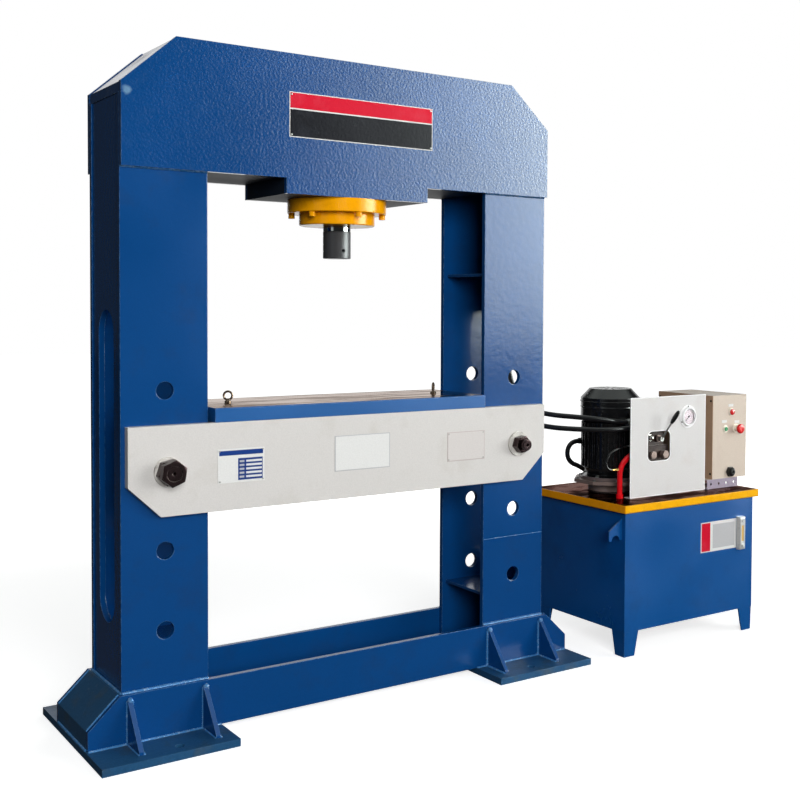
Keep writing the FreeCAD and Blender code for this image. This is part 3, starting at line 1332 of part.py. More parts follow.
def motor_rotor():
    """Rotor core on the motor shaft, which reaches down into the coupling and up into the fan."""
    core = STATOR_BORE / 2 - AIR_GAP
    shaft = MOTOR_SHAFT / 2
    return at_motor(revolved([
        (0, SHAFT_BOTTOM),
        (shaft, SHAFT_BOTTOM),
        (shaft, STATOR_BOTTOM + CORE_GAP),
        (core, STATOR_BOTTOM + CORE_GAP),
        (core, STATOR_TOP - CORE_GAP),
        (shaft, STATOR_TOP - CORE_GAP),
        (shaft, FAN_BOTTOM + FAN_HEIGHT),
        (0, FAN_BOTTOM + FAN_HEIGHT),
    ]))


def motor_fan():
    """Cooling fan with straight blades on a disc."""
    hub = rod(FAN_HUB, (0, 0, FAN_BOTTOM), FAN_HEIGHT)
    disc = rod(FAN_DIAMETER, (0, 0, FAN_BOTTOM + 12), 4)
    blades = []
    for n in range(FAN_BLADES):
        half = FAN_BLADE / 2
        blade = block(FAN_HUB / 2 - 3, FAN_DIAMETER / 2, -half, half, FAN_BOTTOM + 14, FAN_BOTTOM + 40)
        blade.rotate(ORIGIN, Z_AXIS, 360 / FAN_BLADES * n)
        blades.append(blade)
    bore = rod(MOTOR_SHAFT, (0, 0, FAN_BOTTOM), FAN_HEIGHT)
    return at_motor(joined([hub, disc] + blades).cut(bore))


def pump_shaft():
    """Coupling sleeve turned in one piece with the pump's drive shaft."""
    sleeve = COUPLING_DIAMETER / 2
    return at_motor(revolved([
        (0, PUMP_SHAFT_BOTTOM),
        (PUMP_SHAFT / 2, PUMP_SHAFT_BOTTOM),
        (PUMP_SHAFT / 2, COUPLING_BOTTOM),
        (sleeve, COUPLING_BOTTOM),
        (sleeve, COUPLING_TOP),
        (MOTOR_SHAFT / 2, COUPLING_TOP),
        (MOTOR_SHAFT / 2, SHAFT_BOTTOM),
        (0, SHAFT_BOTTOM),
    ]))


def pump_housing():
    """Cast adapter and pump: eight-sided motor seat on a ring, bell through the lid, pump below."""
    seat_points = regular_points(8, MOUNT_ACROSS, math.pi / 8)
    seat = profile_z(seat_points, MOTOR_MOUNT_TOP - MOUNT_PLATE, MOUNT_PLATE)
    ring = rod(MOUNT_RING, (0, 0, LID_TOP), MOTOR_MOUNT_TOP - MOUNT_PLATE - LID_TOP)
    ring = ring.cut(rod(MOUNT_RING - 2 * MOUNT_RING_WALL, (0, 0, LID_TOP), MOTOR_MOUNT_TOP - LID_TOP))
    bell = rod(BELL_DIAMETER, (0, 0, BELL_BOTTOM), MOTOR_MOUNT_TOP - BELL_BOTTOM)
    pump = rod(PUMP_DIAMETER, (0, 0, PUMP_BOTTOM), BELL_BOTTOM - PUMP_BOTTOM)
    suction = rod(SUCTION_PIPE, (0, 0, STRAINER_TOP), PUMP_BOTTOM - STRAINER_TOP)
    outlet_end = Vector(PRESSURE_PIPE_X - MOTOR_X, PRESSURE_PIPE_Y - MOTOR_Y, 0)
    outlet_level = PUMP_BOTTOM + PUMP_OUTLET_RISE
    around_pipe = PRESSURE_PIPE + 2 * PUMP_OUTLET_WALL
    outlet = Part.makeCylinder(around_pipe / 2, outlet_end.Length, Vector(0, 0, outlet_level), outlet_end)
    knee_bottom = outlet_level - around_pipe / 2
    knee = rod(around_pipe, (outlet_end.x, outlet_end.y, knee_bottom), PUMP_OUTLET_KNEE)
    solid = joined([seat, ring, bell, pump, suction, outlet, knee])
    bell_bore = BELL_DIAMETER - 2 * BELL_WALL
    cavity = rod(bell_bore, (0, 0, BELL_BOTTOM + BELL_WALL), MOTOR_MOUNT_TOP - BELL_BOTTOM)
    shaft_hole = rod(PUMP_SHAFT + 2 * SLIDING_FIT, (0, 0, PUMP_SHAFT_BOTTOM - 2), BELL_BOTTOM)
    pipe_hole = PRESSURE_PIPE + 2 * SLIDING_FIT
    socket = rod(pipe_hole, (outlet_end.x, outlet_end.y, outlet_level), PUMP_OUTLET_KNEE)
    return at_motor(solid.cut([cavity, shaft_hole, socket]))


def suction_strainer():
    """Ribbed strainer screwed on the suction pipe."""
    outer = STRAINER_DIAMETER / 2
    mesh_top = STRAINER_TOP - STRAINER_CAP
    mesh_bottom = STRAINER_BOTTOM + STRAINER_CAP
    pitch = (mesh_top - mesh_bottom) / STRAINER_RIBS
    wall = [(outer, STRAINER_BOTTOM), (outer, mesh_bottom)]
    for n in range(STRAINER_RIBS):
        low = mesh_bottom + n * pitch
        wall += [(outer - 6, low + pitch * 0.2), (outer - 6, low + pitch * 0.6)]
        wall.append((outer - 1, low + pitch * 0.8))
    wall += [(outer, mesh_top), (outer, STRAINER_TOP)]
    return at_motor(revolved([(0, STRAINER_BOTTOM)] + wall + [(0, STRAINER_TOP)]))


def return_pipe():
    """Painted return pipe: up through the lid, then bent over to the valve."""
    x, y, _ = RETURN_ROUTE[0]
    end = (VALVE_LEFT + 10, RETURN_END[1], RETURN_END[2])
    corner = (RETURN_ROUTE[1][0], RETURN_ROUTE[1][1], end[2])
    route = [(x, y, TANK_TOP - RETURN_DIP), RETURN_ROUTE[0], corner, end]
    pipe = tube(route, RETURN_PIPE)
    collar = rod(RETURN_COLLAR, (x, y, LID_TOP), RETURN_COLLAR_HEIGHT)
    return joined([pipe, collar])


def pressure_pipe():
    """Straight steel pipe from the pump's outlet up into the valve."""
    bottom = PUMP_BOTTOM + PUMP_OUTLET_RISE + PIPE_END_GAP
    pipe = rod(PRESSURE_PIPE, (PRESSURE_PIPE_X, PRESSURE_PIPE_Y, bottom), VALVE_BOTTOM + 14 - bottom)
    nut = hexagon(PRESSURE_PIPE + 12, (PRESSURE_PIPE_X, PRESSURE_PIPE_Y, VALVE_BOTTOM - 22), 22)
    collar = hexagon(PRESSURE_PIPE + 12, (PRESSURE_PIPE_X, PRESSURE_PIPE_Y, LID_TOP), 16)
    return joined([pipe, nut, collar])


# ---------------------------------------------------------------- electric box
def box_body():
    """Sheet box on two perforated brackets, open to the left under its side cover."""
    s = BOX_SHEET
    left = BOX_LEFT + s
    shell = block(left, BOX_RIGHT, BOX_FRONT, BOX_REAR, BOX_BOTTOM, BOX_TOP)
    hollow = block(left + s, BOX_RIGHT - s, BOX_FRONT + s, BOX_REAR - s, BOX_BOTTOM + s, BOX_TOP - s)
    r = BOX_RETURN
    mouth = block(left, left + s, BOX_FRONT + r, BOX_REAR - r, BOX_BOTTOM + r, BOX_TOP - r)
    solid = shell.cut([hollow, mouth])
    holes = []
    for x, z in (LAMP_AT, START_AT, STOP_AT, GLAND_AT):
        holes.append(rod(DEVICE_HOLE + 2 * PANEL_CLEARANCE, (x, BOX_FRONT, z), s, Y_AXIS))
    brackets = []
    for y in (BOX_FRONT + 2, BOX_REAR - 2 - BRACKET_DEPTH):
        angle = block(BRACKET_LEFT, BRACKET_LEFT + BRACKET_WIDTH, y, y + BRACKET_DEPTH, LID_TOP, BOX_BOTTOM)
        inside = block(
            BRACKET_LEFT, BRACKET_LEFT + BRACKET_WIDTH, y + BRACKET_SHEET, y + BRACKET_DEPTH,
            LID_TOP + BRACKET_SHEET, BOX_BOTTOM - BRACKET_SHEET,
        )
        angle = angle.cut(inside)
        pitch = BRACKET_WIDTH / BRACKET_HOLES
        for n in range(BRACKET_HOLES):
            x = BRACKET_LEFT + (n + 0.5) * pitch
            angle = angle.cut(rod(BRACKET_HOLE, (x, y, (LID_TOP + BOX_BOTTOM) / 2), BRACKET_SHEET, Y_AXIS))
        brackets.append(angle)
    end = CONDUIT_ROUTE[-1]
    conduit_gland = rod(CONDUIT_DIAMETER + 8, (end[0], BOX_REAR, end[2]), CONDUIT_GLAND, Y_AXIS)
    return joined([solid.cut(holes)] + brackets + [conduit_gland])


def box_cover():
    """Flat side cover with four screw holes."""
    cover = block(BOX_LEFT, BOX_LEFT + BOX_SHEET, BOX_FRONT, BOX_REAR, BOX_BOTTOM, BOX_TOP)
    inset = BOX_RETURN * 0.55
    for y in (BOX_FRONT + inset, BOX_REAR - inset):
        for z in (BOX_BOTTOM + inset * 2, BOX_TOP - inset * 2):
            cover = cover.cut(rod(5, (BOX_LEFT, y, z), BOX_SHEET, X_AXIS))
    return cover


def device_body(base_diameter, base_height, collar_diameter, front):
    """Panel device as (r, h) points: its threaded body, the base on the box's face and the collar."""
    return [
        (DEVICE_HOLE / 2, -DEVICE_DEPTH),
        (DEVICE_HOLE / 2, 0),
        (base_diameter / 2, 0),
        (base_diameter / 2, base_height),
        (collar_diameter / 2, base_height),
        (collar_diameter / 2, front - DEVICE_EDGE),
        (collar_diameter / 2 - DEVICE_EDGE, front),
    ]


def button_bezels():
    """Fixed bodies of the pilot lamp, the start button and the stop button."""
    devices = (
        (LAMP_AT, BEZEL_DIAMETER, BEZEL_HEIGHT, BEZEL_DIAMETER - 2, BEZEL_HEIGHT + 1, START_DIAMETER),
        (START_AT, BEZEL_DIAMETER, BEZEL_HEIGHT / 2, BEZEL_DIAMETER - 4, BEZEL_HEIGHT, START_DIAMETER),
        (STOP_AT, STOP_PLATE, STOP_PLATE_HEIGHT, BEZEL_DIAMETER - 4, STOP_COLLAR, STOP_STEM),
    )
    floor = DEVICE_FLOOR - DEVICE_DEPTH
    bodies = []
    for (x, z), base, base_height, collar, front, bore in devices:
        outline = device_body(base, base_height, collar, front)
        inner = bore / 2 + SLIDING_FIT
        outline += [(inner, front), (inner, floor), (0, floor), (0, -DEVICE_DEPTH)]
        bodies.append(revolved(outline, (x, BOX_FRONT, z), FORWARD))
    return group(bodies)


def pilot_lamp():
    """Domed lamp lens that covers most of its bezel."""
    stem = START_DIAMETER / 2
    r = LAMP_DIAMETER / 2
    seat = BEZEL_HEIGHT + 1
    outline = [(0, -LAMP_STEM), (stem, -LAMP_STEM), (stem, seat), (r, seat)]
    dome = ((1, 0.3), (0.92, 0.6), (0.7, 0.85), (0.4, 0.97))
    outline += [(r * share, seat + LAMP_DOME * rise) for share, rise in dome]
    outline.append((0, seat + LAMP_DOME))
    return revolved(outline, (LAMP_AT[0], BOX_FRONT, LAMP_AT[1]), FORWARD)


def start_button():
    """Sprung push button."""
    r = START_DIAMETER / 2
    top = BEZEL_HEIGHT + START_PROUD - 2
    depth = DEVICE_DEPTH - 8 - START_TRAVEL - 2
    outline = [(0, -depth), (r, -depth), (r, top - 1), (r - 1, top), (0, top)]
    return revolved(outline, (START_AT[0], BOX_FRONT, START_AT[1]), FORWARD)


def stop_stem():
    """Plunger of the stop button, which latches when it is pushed in."""
    depth = DEVICE_DEPTH - 8 - STOP_TRAVEL - 2
    head_back = STOP_COLLAR + STOP_TRAVEL + 1
    start = (STOP_AT[0], BOX_FRONT + depth, STOP_AT[1])
    thick = rod(STOP_STEM, start, depth + head_back, FORWARD)
    tip_start = (STOP_AT[0], BOX_FRONT - head_back, STOP_AT[1])
    return joined([thick, rod(STOP_STEM / 2, tip_start, STOP_HEAD_HEIGHT / 2, FORWARD)])


def stop_head():
    """Mushroom head of the stop button, turned to release it."""
    back = STOP_COLLAR + STOP_TRAVEL + 1
    r = STOP_HEAD / 2
    bore = STOP_STEM / 4 + SLIDING_FIT
    top = back + STOP_HEAD_HEIGHT
    outline = [
        (bore, back), (r * 0.62, back), (r * 0.72, back + 4), (r, back + 7), (r, top - 5),
        (r * 0.85, top - 1), (r * 0.5, top), (0, top), (0, back + STOP_HEAD_HEIGHT / 2 + 0.2),
        (bore, back + STOP_HEAD_HEIGHT / 2 + 0.2),
    ]
    return revolved(outline, (STOP_AT[0], BOX_FRONT, STOP_AT[1]), FORWARD)


def cable_gland():
    """Plastic cable gland in the box's front, with its dome nut."""
    x, z = GLAND_AT
    hexagon_part = hexagon(CABLE_GLAND_FLATS, (x, BOX_FRONT, z), CABLE_GLAND_HEX, FORWARD)
    r = CABLE_GLAND_FLATS / 2 - 1
    front = CABLE_GLAND_HEX + CABLE_GLAND_DOME
    dome = revolved(
        [(0, 0), (r, 0), (r, front - 7), (r * 0.6, front), (0, front)], (x, BOX_FRONT, z), FORWARD
    )
    thread = rod(DEVICE_HOLE, (x, BOX_FRONT, z), 14, Y_AXIS)
    mouth = rod(r * 0.7, (x, BOX_FRONT - front, z), 6, Y_AXIS)
    return joined([hexagon_part, dome, thread]).cut(mouth)


# ---------------------------------------------------------------- all parts
PARTS = {
    "base_plates": foundation_plates,
    "base_rails": base_rails,
    "foot_end_plates": foot_end_plates,
    "foot_gussets": foot_gussets,
    "column_plates": column_plates,
    "column_webs": column_webs,
    "column_ribs": column_ribs,
    "crown_front_plate": crown_front_plate,
    "crown_rear_plate": crown_rear_plate,
    "crown_top_plate": crown_top_plate,
    "crown_bottom_plate": crown_bottom_plate,
    "crown_stiffeners": crown_stiffeners,
    "cylinder_barrel": cylinder_barrel,
    "cylinder_gland": cylinder_gland,
    "cylinder_bolts": cylinder_bolts,
    "piston": piston,
    "piston_seals": piston_seals,
    "piston_rod": piston_rod,
    "rod_end": rod_end,
    "cylinder_ports": cylinder_ports,
    "table_plate": table_plate,
    "table_aprons": table_aprons,
    "table_ribs": table_ribs,
    "table_pins": table_pins,
    "pin_nuts": pin_nuts,
    "eye_bolts": eye_bolts,
    "tank_body": tank_body,
    "tank_hooks": tank_hooks,
    "tank_legs": tank_legs,
    "tank_lid": tank_lid,
    "lid_rim": lid_rim,
    "level_gauge": level_gauge,
    "valve_panel": valve_panel,
    "valve_block": valve_block,
    "relief_valve": relief_valve,
    "valve_lever": valve_lever,
    "lever_grip": lever_grip,
    "gauge_case": gauge_case,
    "gauge_glass": gauge_glass,
    "gauge_needle": gauge_needle,
    "motor_frame": motor_frame,
    "fan_cover": fan_cover,
    "motor_rotor": motor_rotor,
    "motor_fan": motor_fan,
    "pump_shaft": pump_shaft,
    "pump_housing": pump_housing,
    "suction_strainer": suction_strainer,
    "return_pipe": return_pipe,
    "pressure_pipe": pressure_pipe,
    "upper_hose": lambda: tube(UPPER_HOSE_ROUTE, HOSE_DIAMETER),
    "lower_hose": lambda: tube(LOWER_HOSE_ROUTE, HOSE_DIAMETER),
    "motor_conduit": lambda: tube(CONDUIT_ROUTE, CONDUIT_DIAMETER),
    "box_body": box_body,
    "box_cover": box_cover,
    "button_bezels": button_bezels,
    "pilot_lamp": pilot_lamp,
    "start_button": start_button,
    "stop_stem": stop_stem,
    "stop_head": stop_head,
    "cable_gland": cable_gland,
}

for node, make in PARTS.items():
    shape = make()
    solids = shape.Solids
    print(f"{node}: {len(solids)} solids, valid {shape.isValid()}, volume {shape.Volume / 1000:.1f} cm3")
    shape.exportStep(f"parts/{node}.step")
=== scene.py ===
"""Looks of the hydraulic press and its power unit.

Finishes, welds, plates, hoses and small fasteners.
"""
import bpy
import bmesh
import math
import random
from mathutils import Matrix, Vector

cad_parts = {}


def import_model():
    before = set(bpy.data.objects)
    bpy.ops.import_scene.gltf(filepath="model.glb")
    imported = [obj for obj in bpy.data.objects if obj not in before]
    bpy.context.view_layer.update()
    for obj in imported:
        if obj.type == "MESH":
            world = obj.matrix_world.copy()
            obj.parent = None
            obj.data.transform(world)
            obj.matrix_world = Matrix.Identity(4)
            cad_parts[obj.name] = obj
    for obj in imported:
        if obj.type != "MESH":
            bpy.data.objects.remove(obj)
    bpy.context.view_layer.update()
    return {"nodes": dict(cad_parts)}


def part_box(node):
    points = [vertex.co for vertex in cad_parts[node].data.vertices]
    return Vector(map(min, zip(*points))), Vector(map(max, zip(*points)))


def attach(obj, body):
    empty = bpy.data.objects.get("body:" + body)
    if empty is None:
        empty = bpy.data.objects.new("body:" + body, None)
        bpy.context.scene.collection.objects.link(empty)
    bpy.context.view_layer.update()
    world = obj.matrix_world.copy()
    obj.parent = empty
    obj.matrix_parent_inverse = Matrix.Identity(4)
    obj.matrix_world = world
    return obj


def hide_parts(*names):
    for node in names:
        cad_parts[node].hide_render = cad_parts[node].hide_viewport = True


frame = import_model()
nodes = frame["nodes"]
random.seed(7)
MACHINE = "machine"


# ---------------------------------------------------------------- colours and material building
def srgb(red, green, blue):
    """Linear colour from the 0 to 255 values that it shows as."""
    def linear(value):
        value /= 255
        return value / 12.92 if value <= 0.04045 else ((value + 0.055) / 1.055) ** 2.4
    return linear(red), linear(green), linear(blue), 1.0


def scaled(colour, factor):
    """A colour made lighter or darker."""
    return tuple(min(channel * factor, 1.0) for channel in colour[:3]) + (1.0,)


class Shader:
    """Builds one procedural material on a principled shader."""

    def __init__(self, name):
        self.material = bpy.data.materials.new(name)
        self.material.use_nodes = True
        self.tree = self.material.node_tree
        self.bsdf = self.tree.nodes["Principled BSDF"]
        self.place = self.node("ShaderNodeTexCoord").outputs["Object"]

    def node(self, kind):
        return self.tree.nodes.new(kind)

    def link(self, source, target):
        self.tree.links.new(source, target)

    def put(self, socket, value):
        """Sets a socket to a value or joins it to another socket."""
        if isinstance(value, bpy.types.NodeSocket):
            self.link(value, socket)
        else:
            socket.default_value = value

    def noise(self, scale, detail=3.0, stretch=(1, 1, 1), roughness=0.55):
        """Noise between 0 and 1 over the piece's own place; scale is in features per metre."""
        mapping = self.node("ShaderNodeMapping")
        mapping.inputs["Scale"].default_value = stretch
        self.link(self.place, mapping.inputs["Vector"])
        noise = self.node("ShaderNodeTexNoise")
        noise.inputs["Scale"].default_value = scale
        noise.inputs["Detail"].default_value = detail
        noise.inputs["Roughness"].default_value = roughness
        self.link(mapping.outputs["Vector"], noise.inputs["Vector"])
        return noise.outputs["Fac"]

    def spread(self, value, low, high, to_low=0.0, to_high=1.0):
        """Maps a range of values onto another, clamped."""
        mapped = self.node("ShaderNodeMapRange")
        self.put(mapped.inputs["Value"], value)
        mapped.inputs["From Min"].default_value = low
        mapped.inputs["From Max"].default_value = high
        mapped.inputs["To Min"].default_value = to_low
        mapped.inputs["To Max"].default_value = to_high
        return mapped.outputs["Result"]

    def math(self, operation, first, second):
        node = self.node("ShaderNodeMath")
        node.operation = operation
        self.put(node.inputs[0], first)
        self.put(node.inputs[1], second)
        return node.outputs[0]

    def mix(self, factor, first, second, blend="MIX"):
        """Blend of two colours."""
        node = self.node("ShaderNodeMix")
        node.data_type = "RGBA"
        node.blend_type = blend
        self.put(node.inputs["Factor"], factor)
        self.put(node.inputs["A"], first)
        self.put(node.inputs["B"], second)
        return node.outputs["Result"]

    def axis(self, name):
        """One coordinate of the place on the piece, in metres."""
        split = self.node("ShaderNodeSeparateXYZ")
        self.link(self.place, split.inputs["Vector"])
        return split.outputs[name]

    def near(self, place, radius):
        """1 at a place on the piece, 0 beyond its radius, with a ragged border."""
        ragged = self.node("ShaderNodeVectorMath")
        ragged.operation = "DISTANCE"
        self.link(self.place, ragged.inputs[0])
        ragged.inputs[1].default_value = place
        border = self.spread(self.noise(60.0, 6.0), 0, 1, 0, radius)
        distance = self.math("ADD", ragged.outputs["Value"], border)
        return self.spread(distance, radius * 1.45, radius * 0.9)

    def edges(self, radius):
        """1 on convex and concave edges, 0 on open faces, with the rounded normal."""
        bevel = self.node("ShaderNodeBevel")
        bevel.samples = 4
        bevel.inputs["Radius"].default_value = radius
        geometry = self.node("ShaderNodeNewGeometry")
        dot = self.node("ShaderNodeVectorMath")
        dot.operation = "DOT_PRODUCT"
        self.link(bevel.outputs["Normal"], dot.inputs[0])
        self.link(geometry.outputs["True Normal"], dot.inputs[1])
        return self.spread(dot.outputs["Value"], 0.97, 0.80), bevel.outputs["Normal"]

    def finish(self, colour, roughness, metallic=0.0, normal=None):
        self.put(self.bsdf.inputs["Base Color"], colour)
        self.put(self.bsdf.inputs["Roughness"], roughness)
        if not self.bsdf.inputs["Metallic"].is_linked:
            self.bsdf.inputs["Metallic"].default_value = metallic
        if normal is not None:
            self.link(normal, self.bsdf.inputs["Normal"])
        return self.material


def finish(name, colour, rough, metallic=0.0, vary=0.10, vary_scale=2.5, grain=0.05, grain_scale=220.0,
           bump=0.0006, bump_scale=90.0, edge_wear_and_highlight=None, edge_wear_and_highlight_amount=0.0, dirt_and_sheen=None, dirt_and_sheen_amount=0.0,
           dirt_and_sheen_scale=7.0, brushed=None, edge=0.0012, specular=0.5, tint=None, alternative=None,
           streaks=None, spots=()):
    """A finish with colour variation, grain, bump, edges lightened by wear and painted highlight, and patches
    of dirt and painted sheen.

    alternative is (axis, low, high, colour, roughness, metallic): where that coordinate lies between
    low and high, the surface takes the other colour, roughness and metal; |Y| is Y on both sides.
    streaks is (scale, stretch, colour, roughness added) of long marks over the whole surface.
    """
    shader = Shader(name)
    stretch = brushed or (1, 1, 1)
    broad = shader.noise(vary_scale, 4.0)
    fine = shader.noise(grain_scale, 2.0, stretch)
    base = shader.mix(broad, scaled(colour, 1 - vary), scaled(colour, 1 + vary))
    roughness = shader.spread(broad, 0.25, 0.75, max(rough - 0.05, 0.03), rough + 0.07)
    if alternative:
        axis, low, high, other, other_rough, other_metal = alternative
        place = shader.axis(axis.strip("|"))
        if "|" in axis:
            place = shader.math("ABSOLUTE", place, 0.0)
        inside = shader.math("MULTIPLY", shader.math("GREATER_THAN", place, low),
                             shader.math("LESS_THAN", place, high))
        other_base = shader.mix(broad, scaled(other, 1 - vary), scaled(other, 1 + vary))
        base = shader.mix(inside, base, other_base)
        roughness = shader.math("ADD", roughness, shader.math("MULTIPLY", inside, other_rough - rough))
        if other_metal != metallic:
            shader.put(shader.bsdf.inputs["Metallic"], shader.spread(inside, 0.0, 1.0, metallic, other_metal))
    shade = shader.mix(fine, (1 - 2 * grain,) * 3 + (1,), (1 + 2 * grain,) * 3 + (1,))
    base = shader.mix(1.0, base, shade, "MULTIPLY")
    # Patches of a second colour: real dirt on most finishes, painted highlight and reflection on the welds
    # and the lid.
    if dirt_and_sheen:
        patches = shader.spread(shader.noise(dirt_and_sheen_scale, 8.0, roughness=0.65), 0.52, 0.72)
        patches = shader.math("MULTIPLY", patches, dirt_and_sheen_amount)
        base = shader.mix(patches, base, dirt_and_sheen)
        roughness = shader.math("ADD", roughness, shader.math("MULTIPLY", patches, 0.15))
    if streaks:
        scale, long_way, streak_colour, rougher = streaks
        marks = shader.spread(shader.noise(scale, 5.0, long_way, 0.6), 0.46, 0.58)
        base = shader.mix(marks, base, streak_colour)
        roughness = shader.math("ADD", roughness, shader.math("MULTIPLY", marks, rougher))
    for place, radius, colour_there, amount in spots:
        inside = shader.math("MULTIPLY", shader.near(place, radius), amount)
        base = shader.mix(inside, base, colour_there)
    edge_mask, rounded = shader.edges(edge)
    # Edges take a second colour: real wear on some finishes, painted highlight on the frame, the crown top,
    # the nuts and the motor's fins.
    if edge_wear_and_highlight:
        rubbed_and_lit_edges = shader.math("MULTIPLY", edge_mask, shader.spread(shader.noise(60.0, 5.0), 0.35, 0.65))
        base = shader.mix(shader.math("MULTIPLY", rubbed_and_lit_edges, edge_wear_and_highlight_amount), base, edge_wear_and_highlight)
    relief = shader.node("ShaderNodeBump")
    relief.inputs["Distance"].default_value = bump
    relief.inputs["Strength"].default_value = 0.6
    shader.link(shader.noise(bump_scale, 3.0, stretch), relief.inputs["Height"])
    shader.link(rounded, relief.inputs["Normal"])
    material = shader.finish(base, roughness, metallic, relief.outputs["Normal"])
    shader.bsdf.inputs["Specular IOR Level"].default_value = specular
    if tint:
        shader.bsdf.inputs["Specular Tint"].default_value = tint
    return material


BLUE = srgb(8, 67, 127)
GRIME = srgb(40, 40, 42)
TABLE_TOP_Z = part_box("table_plate")[1][2]
APRON_FACE = -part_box("table_aprons")[0][1]
BRACKET_TOP_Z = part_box("box_cover")[0][2]
SEAT_TOP_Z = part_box("pump_housing")[1][2]
VALVE_FACE = -0.236
RIM_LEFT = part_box("lid_rim")[0][0]
FLANGE_TOP_Z = 0.7206
SEAT_LOW_Z = 0.655

# The pale blue along the frame's plate edges and hole rims is painted highlight.
FRAME_PAINT = finish("frame_paint", BLUE, 0.16, bump=0.0006, bump_scale=45.0, vary=0.10, dirt_and_sheen=GRIME,
                     dirt_and_sheen_amount=0.18, edge_wear_and_highlight=srgb(120, 165, 205), edge_wear_and_highlight_amount=0.75, specular=0.55, edge=0.004,
                     # Pale patches at the left end's top corner are chipped, dusty paint; the small
                     # near-white spot at its front edge is painted highlight.
                     spots=(
                         ((-0.995, -0.130, 2.150), 0.060, srgb(96, 122, 150), 0.55),
                         ((-0.995, -0.155, 2.165), 0.020, srgb(190, 200, 200), 0.70),
                         ((-0.995, 0.040, 2.080), 0.090, srgb(46, 70, 108), 0.45)))
# The crown's bottom plate is coloured dark grey as painted shade on its underside.
UNDERSIDE_SHADE = finish("underside_shade", srgb(30, 38, 50), 0.50, bump=0.0008, bump_scale=45.0, vary=0.20,
                     edge_wear_and_highlight=srgb(70, 84, 100), edge_wear_and_highlight_amount=0.5, specular=0.08)
# The near-white along the crown top's edges is painted highlight.
TOP_PAINT = finish("top_paint", BLUE, 0.14, bump=0.0006, bump_scale=60.0, vary=0.10, dirt_and_sheen=srgb(120, 126, 132),
                   dirt_and_sheen_amount=0.6, dirt_and_sheen_scale=5.0, edge_wear_and_highlight=srgb(215, 225, 235), edge_wear_and_highlight_amount=0.95, specular=0.9,
                   edge=0.003)
HAMMER_PAINT = finish("hammer_paint", BLUE, 0.11, bump=0.0013, bump_scale=110.0, vary=0.10,
                      edge_wear_and_highlight=srgb(165, 195, 220), edge_wear_and_highlight_amount=0.85, dirt_and_sheen=srgb(70, 105, 140), dirt_and_sheen_amount=0.08,
                      dirt_and_sheen_scale=18.0, specular=0.6, edge=0.0025, spots=(
                          ((-0.862, -0.180, 2.175), 0.020, srgb(120, 160, 190), 0.7),
                          ((0.355, -0.180, 2.155), 0.005, srgb(60, 92, 120), 0.6),
                          ((0.656, -0.180, 2.176), 0.004, srgb(60, 92, 120), 0.6)))
FOOT_PAINT = finish("foot_paint", srgb(32, 76, 114), 0.40, bump=0.0014, bump_scale=60.0, vary=0.20,
                    dirt_and_sheen=srgb(60, 72, 80), dirt_and_sheen_amount=0.85, dirt_and_sheen_scale=11.0, edge_wear_and_highlight=srgb(110, 150, 180),
                    edge_wear_and_highlight_amount=0.85, grain=0.16, grain_scale=160.0)
# Welds carry the frame's blue paint; their lighter blue and whitish specks are painted highlight.
WELD_PAINT_AND_HIGHLIGHT = finish("weld_paint_and_highlight", srgb(60, 120, 176), 0.26, bump=0.0012, bump_scale=300.0, vary=0.25,
                    dirt_and_sheen=srgb(190, 210, 225), dirt_and_sheen_amount=0.5, dirt_and_sheen_scale=70.0)
APRON_PAINT = finish("apron_paint", srgb(212, 209, 206), 0.42, bump=0.0006, bump_scale=40.0, vary=0.03,
                     dirt_and_sheen=srgb(178, 172, 160), dirt_and_sheen_amount=0.30, dirt_and_sheen_scale=5.0, edge_wear_and_highlight=srgb(150, 144, 136),
                     edge_wear_and_highlight_amount=0.45, specular=0.25)
TABLE_SIDES = finish("table_sides", srgb(24, 84, 146), 0.30, vary=0.10, bump=0.0006, bump_scale=45.0,
                     edge_wear_and_highlight=srgb(186, 184, 180), edge_wear_and_highlight_amount=0.85, edge=0.003)
# The brown colour and tint of the bare steel top are painted reflection of brown surroundings.
TABLE_TOP = finish("table_top", srgb(150, 122, 104), 0.05, 1.0, vary=0.15, bump=0.0002, bump_scale=60.0,
                   tint=(0.72, 0.62, 0.55, 1.0), streaks=(3.0, (1.0, 9.0, 1.0), srgb(84, 58, 46), 0.22))
CYLINDER_PAINT = finish("cylinder_paint", srgb(252, 168, 2), 0.20, bump=0.0004, bump_scale=60.0, vary=0.07,
                        dirt_and_sheen=srgb(150, 88, 14), dirt_and_sheen_amount=0.22, dirt_and_sheen_scale=14.0, edge_wear_and_highlight=srgb(110, 70, 30),
                        edge_wear_and_highlight_amount=0.3, specular=0.22)
CHROME = finish("chrome_finish", srgb(178, 178, 178), 0.09, 1.0, vary=0.04, bump=0.0001, bump_scale=400.0,
                dirt_and_sheen=srgb(100, 96, 92), dirt_and_sheen_amount=0.25)
GAUGE_FRAME = finish("gauge_frame", srgb(204, 204, 202), 0.28, 0.4, vary=0.06, bump=0.0001, bump_scale=300.0,
                     dirt_and_sheen=srgb(120, 116, 110), dirt_and_sheen_amount=0.35, dirt_and_sheen_scale=60.0)
BLACK_OXIDE = finish("black_oxide", srgb(80, 80, 82), 0.40, 0.4, vary=0.2, brushed=(1, 1, 14.0),
                     bump=0.0002, edge_wear_and_highlight=srgb(120, 120, 122), edge_wear_and_highlight_amount=0.8, dirt_and_sheen=srgb(60, 54, 48),
                     dirt_and_sheen_amount=0.3)
